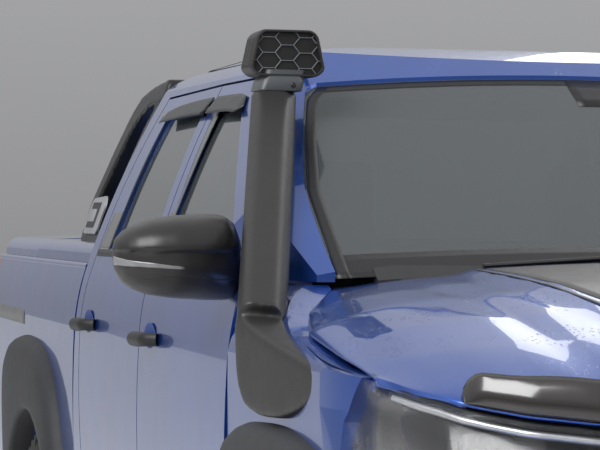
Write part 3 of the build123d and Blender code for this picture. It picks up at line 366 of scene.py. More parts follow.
def piece(name, points, faces, mat, body, sharp=38, finish=None):
    """Mesh piece from points of the working frame, smooth up to a sharp angle, riding on a body."""
    mesh = bpy.data.meshes.new(name)
    mesh.from_pydata([P(*p) for p in points], [], faces)
    form = bmesh.new()
    form.from_mesh(mesh)
    bmesh.ops.remove_doubles(form, verts=form.verts, dist=0.00002)
    bmesh.ops.recalc_face_normals(form, faces=form.faces)
    form.to_mesh(mesh)
    form.free()
    mesh.shade_smooth()
    mesh.set_sharp_from_angle(angle=math.radians(sharp))
    mesh.materials.append(MATS[mat])
    obj = linked(name, mesh)
    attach(obj, body)
    return obj


def thicken(obj, depth, side=-1):
    """Thickness in metres: behind the face, or on both sides of it for side 0."""
    shell = obj.modifiers.new("thickness", "SOLIDIFY")
    shell.thickness = depth
    shell.offset = side


def circle(count):
    """Cosine and sine of each angle of one turn in equal steps."""
    return [(math.cos(t), math.sin(t)) for t in (2 * math.pi * i / count for i in range(count))]


def spread(a, b, count):
    """Evenly spaced values from a to b."""
    return [lerp(a, b, i / (count - 1)) for i in range(count)]


def grid_faces(rows, columns, closed=False):
    """Quads of a grid of points listed row by row."""
    faces = []
    last = columns if closed else columns - 1
    for i in range(rows - 1):
        for j in range(last):
            a = i * columns + j
            b = i * columns + (j + 1) % columns
            faces.append((a, b, b + columns, a + columns))
    return faces


def sheet_piece(name, rows, mat, body, thick=0.0, sharp=50, finish=None):
    """Open surface through rows of points, with a thickness in millimetres, half of it on each side."""
    points = [p for row in rows for p in row]
    obj = piece(name, points, grid_faces(len(rows), len(rows[0])), mat, body, sharp, finish)
    if thick:
        thicken(obj, thick / 1000, 0)
    return obj


def loft_part(rings):
    """Points and faces of a closed body through rings of equal length, capped at both ends."""
    columns = len(rings[0])
    points = [p for ring in rings for p in ring]
    faces = grid_faces(len(rings), columns, closed=True)
    faces.append(tuple(range(columns))[::-1])
    faces.append(tuple(range(len(points) - columns, len(points))))
    return points, faces


def loft_piece(name, rings, mat, body, sharp=38, finish=None):
    """Closed body through rings of equal length, capped at both ends."""
    return piece(name, *loft_part(rings), mat, body, sharp, finish)


def rounded(half_w, half_h, radius, steps=5):
    """Rounded rectangle about the origin, as (u, v) points."""
    loop = []
    for k, (sx, sy) in enumerate(((1, 1), (-1, 1), (-1, -1), (1, -1))):
        for i in range(steps + 1):
            a = math.pi / 2 * (k + i / steps)
            loop.append((sx * (half_w - radius) + radius * math.cos(a),
                         sy * (half_h - radius) + radius * math.sin(a)))
    return loop


def round_corners(points, radius, steps=4):
    """Loop of (u, v) corners with each corner rounded by a short arc."""
    loop = []
    for i, here in enumerate(points):
        c = Vector(here)
        a = Vector(points[i - 1]) - c
        b = Vector(points[(i + 1) % len(points)]) - c
        reach = min(radius, a.length * 0.45, b.length * 0.45)
        p, q = c + a.normalized() * reach, c + b.normalized() * reach
        for k in range(steps + 1):
            t = k / steps
            loop.append(tuple((1 - t) ** 2 * p + 2 * t * (1 - t) * c + t * t * q))
    return loop


def tube_piece(name, path, radii, mat, body, sides=12, flat=1.0, finish=None):
    """Round or flattened bar along a path of points, with a radius at each."""
    rings = []
    for i, here in enumerate(path):
        a = Vector(path[max(0, i - 1)])
        b = Vector(path[min(len(path) - 1, i + 1)])
        run = (b - a).normalized()
        side = run.cross(Vector((0, 0, 1)))
        side = side.normalized() if side.length > 0.1 else Vector((1, 0, 0))
        lift = side.cross(run)
        radius = radii[i] if isinstance(radii, (list, tuple)) else radii
        rings.append([Vector(here) + radius * (c * side + flat * s * lift) for c, s in circle(sides)])
    return loft_piece(name, rings, mat, body, 50, finish)


def joined(name, parts, mat, body, sharp=38, finish=None):
    """One piece of several (points, faces) lists."""
    points, faces = [], []
    for own_points, own_faces in parts:
        base = len(points)
        points.extend(own_points)
        faces.extend(tuple(base + i for i in face) for face in own_faces)
    return piece(name, points, faces, mat, body, sharp, finish)


def bar(a, b, wide, deep, up=Vector((0, 1, 0))):
    """Points and faces of a straight bar with a chamfered top, from a to b."""
    a, b = Vector(a), Vector(b)
    run = (b - a).normalized()
    side = run.cross(up).normalized()
    points = []
    for end in (a, b):
        for u, v in ((-1, 0), (1, 0), (1, 0.6), (0.55, 1), (-0.55, 1), (-1, 0.6)):
            points.append(end + side * (u * wide / 2) - up * (v * deep))
    faces = [(i, (i + 1) % 6, 6 + (i + 1) % 6, 6 + i) for i in range(6)]
    faces += [(0, 1, 2, 3, 4, 5), (11, 10, 9, 8, 7, 6)]
    return points, faces


def soften(obj, voxel, passes, factor=0.5):
    """Moulded look: overlapping bodies become one skin, and its edges melt into small radii."""
    cells = obj.modifiers.new("cells", "REMESH")
    cells.mode = "VOXEL"
    cells.voxel_size = voxel
    cells.use_smooth_shade = True
    smooth = obj.modifiers.new("smooth", "SMOOTH")
    smooth.factor = factor
    smooth.iterations = passes


def disc_rings(centre, radius, rows, steps):
    """Rings about an axis along Y. Columns of the rows: distance behind the centre, share of the radius."""
    x, y, z = centre
    return [[(x + radius * f * c, y + d, z + radius * f * s) for c, s in circle(steps)] for d, f in rows]


# Cab's side in front view, as in the CAD. Columns: x, z, bulge.
SIDE_ROWS = [(850, 475, 0), (884, 560, 0), (897, 1090, 10), (864, 1262, 6), (672, 1722, 12), (600, 1768, 5)]
# Front pillar in plan: y and x of its front end, y and x of its rear end, and bulge
PILLAR_PLAN = (380, 742, 1250, 867, 18)


def side_x(y, z):
    """Half-width of the cab's skin at a station and a height."""
    x = SIDE_ROWS[0][0]
    for (xa, za, _), (xb, zb, sag) in zip(SIDE_ROWS, SIDE_ROWS[1:]):
        if z >= za:
            s = min(1, (z - za) / (zb - za))
            x = lerp(xa, xb, s) + 4 * sag * s * (1 - s) * (zb - za) / math.hypot(xb - xa, zb - za)
    if z > 1254 and y < PILLAR_PLAN[2]:
        ya, xa, yb, xb, sag = PILLAR_PLAN
        s = (y - ya) / (yb - ya)
        x = min(x, lerp(xa, xb, s) + 4 * sag * s * (1 - s))
    return x


# Windscreen: radius in plan, station and height at its foot, its rake, and how deep the glass sits
SCREEN_RADIUS = 2432
SCREEN_FOOT = (335, 1290)
SCREEN_RAKE = 757 / 448
GLASS_DEPTH = 14


def screen_y(x, z):
    """Station of the windscreen's glass at a distance from the middle and a height."""
    foot_y, foot_z = SCREEN_FOOT
    bow = SCREEN_RADIUS - math.sqrt(SCREEN_RADIUS ** 2 - x ** 2)
    return foot_y + GLASS_DEPTH + (z - foot_z) * SCREEN_RAKE + bow


def side_band(name, upper, lower, off, mat, body, sign, steps=12, thick=2.0, rows=5, finish=None):
    """Thin trim between two side-view lines of (y, z) points, laid on the cab's side."""
    def on(line, s):
        spans = [math.dist(a, b) for a, b in zip(line, line[1:])]
        want = s * sum(spans)
        for (a, b), span in zip(zip(line, line[1:]), spans):
            if want <= span or b is line[-1]:
                return lerp(a[0], b[0], want / span), lerp(a[1], b[1], want / span)
            want -= span
    table = []
    for i in range(rows + 1):
        row = []
        for j in range(steps + 1):
            (ya, za), (yb, zb) = on(upper, j / steps), on(lower, j / steps)
            y, z = lerp(ya, yb, i / rows), lerp(za, zb, i / rows)
            row.append((sign * (side_x(y, z) + lerp(off[0], off[1], i / rows)), y, z))
        table.append(row)
    return sheet_piece(name, table, mat, body, thick, 50, finish)


# Bonnet: its centre's height by station, its shut line's height by station, the plan shape of its front
# edge, and its half-width by station
BONNET_TOP = [(-800, 1118), (-760, 1126), (-650, 1154), (-525, 1181), (-400, 1209), (-200, 1247), (0, 1275),
              (170, 1289), (338, 1299), (400, 1302)]
SHUT_ROWS = [(-1000, 985), (-760, 1040), (-659, 1063), (-554, 1081), (-471, 1098), (-365, 1115), (-291, 1124),
             (-90, 1147), (120, 1174), (260, 1209), (400, 1250)]
FRONT_BOW = [(0, 0), (0.35, 0.058), (0.55, 0.15), (0.68, 0.235), (0.8, 0.36), (0.9, 0.55), (0.96, 0.76),
             (1, 1)]
SIDE_PLAN = [(-320, 843), (-150, 851), (104, 851), (250, 815), (340, 765), (396, 733)]
# Shares of its width and length at which the edges begin to roll over
ROLL_SIDE = 0.80
ROLL_FRONT = 0.74
# Stations of the bonnet's middle and of its sides, each at the screen and at the nose
BONNET_MIDDLE = (340, -758)
BONNET_SIDES = (394, -318)
CROWN_DROP = 46
# Raised middle and the grooves beside it: height, and half-widths at the screen and at the nose
BULGE_RISE = 9
BULGE_EDGE = (452, 330)
BULGE_FOOT = (500, 372)
GROOVE_DROP = 5
GROOVE_LINE = (590, 520)
BONNET_SKIN = 0.016
DECAL_SKIN = 0.0003
# Matt bands. Columns: name, how far to the nose, inner and outer half-width at screen and nose, points
# across, lift.
BANDS = (("panel", 0.90, (90, 60), (440, 322), 13, 0.5),
         ("line", 0.88, (452, 336), (459, 343), 2, 0.6))


def bonnet_point(t, v, lift=0.0):
    """Place on the bonnet: t runs from the right edge, -1, to the left, and v from the screen to the nose."""
    mid, end = lerp(*BONNET_MIDDLE, v), lerp(*BONNET_SIDES, v)
    bow = lerp(t * t, along(FRONT_BOW, abs(t)), v)
    x = t * along(SIDE_PLAN, end)
    y = lerp(mid, end, bow)
    top = along(BONNET_TOP, lerp(mid, y, 0.55)) - CROWN_DROP * (x / 730) ** 2
    top += BULGE_RISE * (1 - ease(lerp(*BULGE_EDGE, v), lerp(*BULGE_FOOT, v), abs(x)))
    top -= GROOVE_DROP * (1 - ease(10, 44, abs(abs(x) - lerp(*GROOVE_LINE, v)))) * ease(0.06, 0.3, v)
    a = max(0, (abs(t) - ROLL_SIDE) / (1 - ROLL_SIDE))
    b = max(0, (v - ROLL_FRONT) / (1 - ROLL_FRONT))
    keep = math.sqrt(max(0, 1 - a ** 2.2)) * math.sqrt(max(0, 1 - b ** 2.4))
    edge = min(along(SHUT_ROWS, y), top)
    return (x, y, edge + (top - edge) * keep + lift)


def spaced(count, hard):
    """Numbers from 0 to 1, closer together towards 1."""
    return [1 - (1 - i / count) ** hard for i in range(count + 1)]


def bonnet():
    """Painted skin with a raised middle and rolled edges, and its matt bands."""
    half = spaced(34, 1.7)
    across = [-t for t in reversed(half[1:])] + half
    rows = [[bonnet_point(t, v) for t in across] for v in spaced(56, 1.5)]
    skin = sheet_piece("bonnet_skin", rows, "body_paint", "bonnet", 0, 60)
    thicken(skin, BONNET_SKIN)
    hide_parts("bonnet")
    for side, sign in SIDES:
        for name, last, inner, outer, count, lift in BANDS:
            rows = []
            for v in spread(0.02, last, 33):
                wide = along(SIDE_PLAN, lerp(*BONNET_SIDES, v))
                ends = lerp(*inner, v), lerp(*outer, v)
                rows.append([bonnet_point(sign * x / wide, v, lift) for x in spread(*ends, count)])
            band = sheet_piece(f"bonnet_{name}_{side}", rows, "decal_matt", "bonnet", 0, 60, "dark_plastic")
            thicken(band, DECAL_SKIN)


def bonnet_protector():
    """Smoked strip that stands up over the bonnet's front edge, with rounded ends."""
    half, tall, back = 0.893, 68, 22
    rows = []
    for u in spread(-1, 1, 65):
        t = half * math.copysign(1 - (1 - abs(u)) ** 1.6, u)
        end = min(1, (half - abs(t)) / 0.035)
        rise = math.sqrt(1 - (1 - end) ** 2) * lerp(tall, tall - 14, ease(0.7, half, abs(t)))
        x, y, z = bonnet_point(t, 1.0)
        row = []
        for f in spread(0, 1, 9):
            row.append((x, y - 7 + back * f ** 1.6 - 9 * math.sin(math.pi * f) * end,
                        z + 3 + max(2, rise) * f))
        rows.append(row)
    strip = sheet_piece("bonnet_guard_strip", rows, "protector_acrylic", "bonnet", 4, 60)
    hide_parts("bonnet_protector")


# Snorkel. Shaft loop columns: across, out. Foot outline columns: y, z. Foot face columns: y, x.
# Foot ring columns: depth behind the face, size about the foot's middle.
SHAFT_LOW = (-899, 280, 1192)
SHAFT_TOP = (-718, 948, 1658)
SHAFT_LOOP = [(-47, -34), (-47, 16), (-34, 38), (22, 40), (49, 6), (49, -34)]
FOOT_OUTLINE = [(-143, 1102), (-104, 1071), (-17, 1040), (67, 1022), (177, 1018), (252, 1032), (280, 1052),
                (302, 1091), (316, 1163), (362, 1232), (390, 1280), (345, 1256), (272, 1198), (180, 1176),
                (93, 1160), (16, 1147), (-80, 1131), (-128, 1119)]
FOOT_FACE = [(-143, -890), (-72, -900), (100, -924), (298, -947), (400, -932)]
FOOT_MIDDLE = (150, 1108)
FOOT_BACK = -862
FOOT_RINGS = ((20, 1.0), (7, 0.985), (1, 0.955), (0, 0.9), (-1, 0.75), (-1, 0.55), (-1, 0.3), (-1, 0.1))
HEAD_AT = (-701, 948, 1689)
HEAD_MIDDLE = 49
HEAD_FACE = [(-66, 0), (66, 0), (84, 16), (68, 90), (54, 101), (-54, 101), (-68, 90), (-84, 16)]
MESH_FACE = [(-62, 6), (62, 6), (76, 18), (61, 86), (50, 95), (-50, 95), (-61, 86), (-76, 18)]


def snorkel_body():
    """Raked shaft with a narrow face to the cab, and a foot that tapers into the guard, melted together."""
    low, top = Vector(SHAFT_LOW), Vector(SHAFT_TOP)
    run = (top - low).normalized()
    across = (Vector((1, 0, 0)) - run * run.x).normalized()
    out = across.cross(run)
    loop = round_corners(SHAFT_LOOP, 12)
    rings = [[lerp(low, top, s) + across * u + out * w for u, w in loop] for s in (0, 0.2, 0.4, 0.6, 0.8)]
    cut = [top + across * u + out * w for u, w in loop]
    rings.append([p + run * ((top.z - p.z) / run.z) for p in cut])
    outline = round_corners(FOOT_OUTLINE, 30, 3)
    mid_y, mid_z = FOOT_MIDDLE
    foot = [[(FOOT_BACK, y, z) for y, z in outline]]
    for depth, grow in FOOT_RINGS:
        ring = [(lerp(mid_y, y, grow), lerp(mid_z, z, grow)) for y, z in outline]
        foot.append([(along(FOOT_FACE, y) + depth + 34 * ease(1170, 1290, z), y, z) for y, z in ring])
    body = joined("snorkel_body", [loft_part(rings), loft_part(foot)], "snorkel_plastic", "chassis", 60)
    soften(body, 0.004, 20)
    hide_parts("snorkel")
    bracket = [[(x, 900 + u, 1572 + v) for u, v in rounded(13, 30, 8)] for x in (-748, -700)]
    loft_piece("snorkel_bracket", bracket, "dark_plastic", "chassis", 30)


def clip(a, b, loop):
    """The part of the segment a to b inside a convex anticlockwise loop, or None."""
    low, high = 0.0, 1.0
    for p, q in zip(loop, loop[1:] + loop[:1]):
        nx, ny = p[1] - q[1], q[0] - p[0]
        da = (a[0] - p[0]) * nx + (a[1] - p[1]) * ny
        db = (b[0] - p[0]) * nx + (b[1] - p[1]) * ny
        if da < 0 and db < 0:
            return None
        if da < 0 or db < 0:
            s = da / (da - db)
            low, high = (max(low, s), high) if da < 0 else (low, min(high, s))
    if low >= high:
        return None
    return [(lerp(a[0], b[0], s), lerp(a[1], b[1], s)) for s in (low, high)]


def hex_edges(wide, tall, loop):
    """Edges of a flat honeycomb, wide cells with points at their sides, clipped to a loop."""
    found = {}
    mid_x = sum(x for x, _ in loop) / len(loop)
    mid_y = sum(y for _, y in loop) / len(loop)
    corners = ((0.5, 0), (0.25, 0.5), (-0.25, 0.5), (-0.5, 0), (-0.25, -0.5), (0.25, -0.5))
    for i in range(-9, 10):
        for j in range(-9, 10):
            cx, cy = i * wide * 0.75, (j + 0.5 * (i % 2)) * tall
            ring = [(cx + u * wide + mid_x, cy + v * tall + mid_y) for u, v in corners]
            for a, b in zip(ring, ring[1:] + ring[:1]):
                key = (round((a[0] + b[0]) * 2), round((a[1] + b[1]) * 2))
                part = clip(a, b, loop)
                if part:
                    found[key] = part
    return list(found.values())


# Head's sections from back to front and those round its mesh. Columns: distance from its middle, size.
HEAD_RINGS = ((56, 0.80), (55, 0.90), (48, 0.965), (38, 0.985), (-20, 1.0), (-46, 1.0), (-53, 0.99),
              (-56, 0.965))
MESH_RINGS = ((-56, 1.02), (-54, 1.0), (-44, 0.99))
THROAT_RINGS = ((-44.5, 0.985), (-46, 0.985))
HEX_CELL = (54, 33)
CHEEK_RIBS = 6
# Collar's sections. Columns: z, half-length, half-width.
COLLAR = [(1658.6, 47, 50), (1661, 48, 51), (1682, 48, 50), (1686, 46, 48), (1692, 45, 47), (1704, 45, 47)]


def snorkel_head():
    """Rounded head with a recessed honeycomb face over painted shade, and ribbed cheeks, on its collar and
    clamp screw.
    """
    x0, y0, z0 = HEAD_AT

    def head_rings(loop, table):
        return [[(x0 + u * grow, y0 + y, z0 + HEAD_MIDDLE + (v - HEAD_MIDDLE) * grow) for u, v in loop]
                for y, grow in table]
    face, hole = round_corners(HEAD_FACE, 12), round_corners(MESH_FACE, 10)
    head = loft_piece("snorkel_head_shell", head_rings(face, HEAD_RINGS) + head_rings(hole, MESH_RINGS),
                      "snorkel_plastic", "chassis", 40)
    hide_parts("snorkel_head")
    # Near-black disc in front of the recessed face and behind the mesh: painted shade of the head's hollow
    throat = head_rings(hole, THROAT_RINGS)
    loft_piece("snorkel_head_painted_shade", throat, "throat_black", "chassis", 30, "dark_plastic")
    bars = [bar((x0 + a[0], y0 - 46, z0 + a[1]), (x0 + b[0], y0 - 46, z0 + b[1]), 1.7, 3.6)
            for a, b in hex_edges(*HEX_CELL, hole)]
    joined("snorkel_head_mesh", bars, "rib_grey", "chassis", 30, "snorkel_plastic")
    ribs = []
    for side in (-1, 1):
        for k in range(CHEEK_RIBS):
            y = y0 - 34 + k * 12
            ribs.append(bar((x0 + side * 82, y, z0 + 22), (x0 + side * 69, y, z0 + 82), 4, 2.4,
                            Vector((-side, 0, -0.2))))
    joined("snorkel_head_ribs", ribs, "snorkel_plastic", "chassis", 30)
    rings = [[(-716 + (z - 1658) * 0.25 + u, 940 + v, z) for u, v in rounded(w, d, 18)] for z, w, d in COLLAR]
    loft_piece("snorkel_collar", rings, "collar_grey", "chassis", 30, "snorkel_plastic")
    for name, radius, y, mat in (("screw", 5.5, 887.5, "rim_alloy"), ("socket", 2.6, 886.6, "dark_plastic")):
        disc = disc_rings((-690, y, 1671), radius, ((6, 1), (0, 1), (-1, 0.8)), 16)
        loft_piece(f"snorkel_clamp_{name}", disc, mat, "chassis", 40)


# Mirror shell, from its tip inwards. Columns: x, front y, rear y, low z, high z.
MIRROR_ROWS = [
    (1118, 650, 672, 1302, 1322), (1114, 622, 682, 1281, 1341), (1100, 594, 686, 1256, 1357),
    (1080, 574, 688, 1242, 1369), (1047, 557, 688, 1230, 1381), (1000, 547, 689, 1223, 1390),
    (934, 551, 690, 1219, 1395), (895, 566, 690, 1219, 1392), (876, 584, 690, 1221, 1380),
    (864, 606, 688, 1225, 1352), (858, 632, 684, 1232, 1324)]
CREASE_Z = 1321
# Arm, from the shell to the door. Columns: x, y, z, half-length, half-height.
MIRROR_ARM = ((872, 656, 1268, 26, 38), (850, 662, 1270, 26, 36), (826, 668, 1276, 22, 26),
              (792, 671, 1282, 19, 20))
INDICATOR_LINE = [(1120, 650), (1117, 612), (1098, 578), (1060, 548), (1020, 540), (990, 540)]
SEAM_Z = 1262
SPLIT_X = 929
SEAM_HALF = 1.6
GLASS_MIDDLE = (1008, 1310)
GLASS_LOOP = [(915, 1246), (1080, 1246), (1100, 1285), (1096, 1334), (1040, 1370), (915, 1372)]


def mirror_ring(x, front, rear, low, high, sign):
    """Section of the mirror shell: full at the rear, rounder in front, stepped in below its crease."""
    ring = []
    mid = rear - 24
    for c, s in circle(96):
        z = (low + high) / 2 + (high - low) / 2 * math.copysign(abs(s) ** 0.8, s)
        if c > 0:
            y = mid - (mid - front) * c ** 0.85 + 11 * (1 - ease(CREASE_Z - 4, CREASE_Z, z)) * min(1, c * 2)
        else:
            y = mid + (rear - mid) * abs(c) ** 0.4
        ring.append((sign * x, y, z))
    return ring


def mirrors():
    """Door mirrors: shell, arm, indicator strip, seams and reflecting glass."""
    for side, sign in SIDES:
        body = f"door_front_{side}"
        rings = []
        for a, b in zip(MIRROR_ROWS, MIRROR_ROWS[1:]):
            for f in (0, 1 / 3, 2 / 3):
                rings.append(mirror_ring(*(lerp(u, v, f) for u, v in zip(a, b)), sign))
        rings.append(mirror_ring(*MIRROR_ROWS[-1], sign))
        shell = loft_piece(f"mirror_shell_{side}", rings, "mirror_shell", body, 50)
        smooth = shell.modifiers.new("smooth", "SMOOTH")
        smooth.factor = 0.5
        smooth.iterations = 2
        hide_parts(f"mirror_{side}")
        arm = [[(sign * x, y + u, z + v) for u, v in rounded(deep, tall, 12)]
               for x, y, z, deep, tall in MIRROR_ARM]
        loft_piece(f"mirror_arm_{side}", arm, "mirror_shell", body, 40)

        def wrapped(name, rows, mat, off, thick):
            slot = "lamp_lens" if mat == "indicator" else "mirror_shell"
            strip = sheet_piece(f"mirror_{name}_{side}", rows, mat, body, 0, 50, slot)
            wrap = strip.modifiers.new("wrap", "SHRINKWRAP")
            wrap.target = shell
            wrap.wrap_method = "NEAREST_SURFACEPOINT"
            wrap.wrap_mode = "ABOVE_SURFACE"
            wrap.offset = off
            thicken(strip, thick)
        lens, seam = [], []
        for i in range(25):
            s = i / 24 * (len(INDICATOR_LINE) - 1)
            k = min(int(s), len(INDICATOR_LINE) - 2)
            x, y = (lerp(a, b, s - k) for a, b in zip(INDICATOR_LINE[k], INDICATOR_LINE[k + 1]))
            low, high = lerp(1289, 1278, i / 24), lerp(1308, 1284, i / 24)
            lens.append([(sign * x, y, z) for z in spread(low, high, 5)])
        for x in spread(1108, 866, 25):
            y = lerp(600, 545, ease(1108, 1000, x)) if x > 1000 else lerp(545, 590, ease(1000, 866, x))
            seam.append([(sign * x, y, SEAM_Z + k * SEAM_HALF) for k in (-1, 0, 1)])
        wrapped("indicator", lens, "indicator", 0.0025, 0.003)
        wrapped("seam", seam, "dark_plastic", 0.0006, 0.001)
        split = [[(sign * (SPLIT_X + k * SEAM_HALF), 545, z) for k in (-1, 0, 1)]
                 for z in spread(1222, SEAM_Z, 9)]
        wrapped("split", split, "throat_black", 0.0008, 0.001)
        mid_x, mid_z = GLASS_MIDDLE
        loop = round_corners(GLASS_LOOP, 26)
        glass = [[(sign * lerp(mid_x, u, grow), y, lerp(mid_z, v, grow)) for u, v in loop]
                 for y, grow in ((684, 0.93), (693, 0.93), (694, 0.91))]
        loft_piece(f"mirror_glass_{side}", glass, "mirror_silver", body, 30, "mirror_shell")


# Windscreen's half-width by height
SCREEN_HALF = [(1267, 715), (1442, 705), (1550, 668), (1647, 625), (1678, 588), (1710, 575)]
BORDER_SKIN = 0.0004
# Wipers. Columns: name, then x and z of the foot, the elbow and the blade's tip.
WIPERS = (("right", (190, 1291), (-90, 1318), (-425, 1296)), ("left", (600, 1282), (400, 1316), (40, 1312)))
WIPER_RADII = [9, 8, 7, 6, 6, 5, 5, 5, 4]


def screen_point(u, z, lift):
    """Place on the screen's outer face: u runs from its right edge, -1, to its left."""
    x = u * along(SCREEN_HALF, z)
    return (x, screen_y(x, z) - lift, z)


def windscreen():
    """Black border, wipers and camera panel on the screen."""
    strips = {"low": [], "high": [], "left": [], "right": []}
    for u in spread(-1, 1, 41):
        for name, edge_z, drop, deep in (("low", 1291, 22, 44), ("high", 1704, 27, -14)):
            edge = edge_z - drop * u * u
            strips[name].append([screen_point(u, z, 0.5) for z in spread(edge, edge + deep, 5)])
    for z in spread(1270, 1676, 31):
        for name, sign in SIDES:
            strips[name].append([screen_point(sign * u, z, 0.55) for u in spread(0.998, 0.962, 4)])
    for name, rows in strips.items():
        border = sheet_piece(f"screen_border_{name}", rows, "frit_black", "chassis", 0, 60, "dark_plastic")
        thicken(border, BORDER_SKIN)
    panel = [[(x, screen_y(x, z) - 0.6, z) for x in (-24, 0, 30, 60, 84)] for z in (1700, 1680, 1660, 1640)]
    sheet_piece("screen_camera_panel", panel, "frit_black", "chassis", 0.6, 60, "dark_plastic")
    for name, (xa, za), (xb, zb), (xc, zc) in WIPERS:
        arm = []
        for i in range(9):
            x, z = lerp(xa, xb, i / 8), lerp(za, zb, i / 8)
            arm.append((x, screen_y(x, z) - lerp(18, 13, i / 8), z))
        tube_piece(f"wiper_arm_{name}", arm, WIPER_RADII, "dark_plastic", "chassis", 10, 0.5)
        blade = []
        for s in spread(-0.85, 1, 17):
            x, z = xb + (xc - xb) * s, zb + (zc - zb) * s + (10 if s < 0 else 0) * s
            blade.append((x, screen_y(x, z) - 7, z))
        tube_piece(f"wiper_blade_{name}", blade, 6, "dark_plastic", "chassis", 8, 0.8)


# Trim of the door sides, as upper and lower lines of (y, z) points
SHIELDS = {
    "front": ([(1236, 1640), (1262, 1664), (1330, 1672), (1440, 1674), (1594, 1676)],
              [(1240, 1630), (1276, 1628), (1340, 1632), (1440, 1634), (1586, 1636)]),
    "rear": ([(1632, 1676), (1760, 1676), (1900, 1674), (2030, 1670), (2156, 1660)],
             [(1640, 1636), (1760, 1637), (1900, 1636), (2020, 1634), (2150, 1632)]),
}
PILLAR_TRIMS = {
    "front": [([(1498, 1652), (1557, 1656)], [(1500, 1296), (1558, 1296)])],
    "rear": [([(1632, 1656), (1700, 1656)], [(1578, 1296), (1644, 1296)]),
             ([(2150, 1650), (2232, 1664)], [(2200, 1296), (2352, 1296)])],
}
WAIST_SEALS = {"front": (800, 1556), "rear": (1580, 2350)}
# Pull handles: middle by door, how far out the grip stands, how far its ends fall back, its half-length,
# its height, and the half-length and half-height of the dish behind it
HANDLES = {"front": 1410, "rear": 2250}
GRIP_OUT, GRIP_BACK, GRIP_HALF, GRIP_Z = 926, 28, 98, 1106
# The dish is a flush darker blue disc: painted shade of the body-coloured scoop behind the grip
DISH_HALF, DISH_TALL = 74, 40


def side_trims():
    """Weather shields, pillar trims, waist seals and pull handles of each door, each grip over a disc of
    painted shade.
    """
    for side, sign in SIDES:
        for door, lines in SHIELDS.items():
            body = f"door_{door}_{side}"
            side_band(f"weather_shield_{door}_{side}", *lines, (5, 18), "shield_smoke", body, sign, 30, 2.5,
                      6, "protector_acrylic")
            for k, trim in enumerate(PILLAR_TRIMS[door]):
                side_band(f"pillar_trim_{door}_{side}_{k}", *trim, (0.8, 0.8), "trim_gloss", body, sign, 6, 1,
                          24, "dark_plastic")
            ya, yb = WAIST_SEALS[door]
            side_band(f"waist_seal_{door}_{side}", [(ya, 1306), (yb, 1300)], [(ya, 1290), (yb, 1284)],
                      (1.5, 2.5), "dark_plastic", body, sign, 20, 3, 2)
        for door, y in HANDLES.items():
            body = f"door_{door}_{side}"
            shares = spread(-1, 1, 19)
            grip = [(sign * (GRIP_OUT - GRIP_BACK * abs(f) ** 9), y + GRIP_HALF * f, GRIP_Z - 3 * f)
                    for f in shares]
            radii = [12 + 2 * math.cos(math.pi / 2 * abs(f)) for f in shares]
            tube_piece(f"handle_{door}_{side}", grip, radii, "handle_black", body, 16, 1.25, "dark_plastic")
            # Flush darker blue disc behind the grip, the painted shade of the scoop
            skin = side_x(y, GRIP_Z)
            dish = [[(sign * (skin + 1.5 - 1.2 * f), y + DISH_HALF * f * c, GRIP_Z - 2 + DISH_TALL * f * s)
                     for c, s in circle(32) + circle(1)] for f in spread(0, 1, 9)]
            sheet_piece(f"handle_dish_{door}_{side}", dish, "dish_shade", body, 0.8, 60, "body_paint")


def skin_of(node, keep):
    """Points and faces of the part of a CAD node's surface that a test on centre and normal keeps."""
    source = NODES[node].data
    used, points, faces = {}, [], []
    for face in source.polygons:
        centre = face.center
        at = (centre.x * 1000, (centre.y - AXLE_Y) * 1000, (centre.z - RISE) * 1000)
        if not keep(at, face.normal):
            continue
        row = []
        for i in face.vertices:
            if i not in used:
                used[i] = len(points)
                v = source.vertices[i].co
                points.append((v.x * 1000, (v.y - AXLE_Y) * 1000, (v.z - RISE) * 1000))
            row.append(used[i])
        faces.append(tuple(row))
    return points, faces


# Lamps. Lenses are 3 mm thick, and the front housings lie behind them. Bowl columns: x, y, z, radius.
LAMP_SKIN = 0.003
LAMP_DEPTH = 0.072
BOWLS = ((700, -470, 1010, 46), (585, -560, 1000, 42))
BOWL_RINGS = ((30, 0.2), (26, 0.7), (10, 0.96), (0, 1.0), (-2, 1.08), (0, 1.18), (24, 1.2))
GUIDE = [(838, -262, 1085), (826, -290, 1074), (800, -345, 1052), (776, -385, 1034), (762, -402, 1006),
         (752, -412, 975), (700, -462, 962), (620, -520, 958)]
# Strips under the bonnet's edge. Columns: name, drop, material, slot.
BROWS = (("strip", 13, "throat_black", "dark_plastic"), ("brow", 28, "silver_paint", "rim_alloy"))


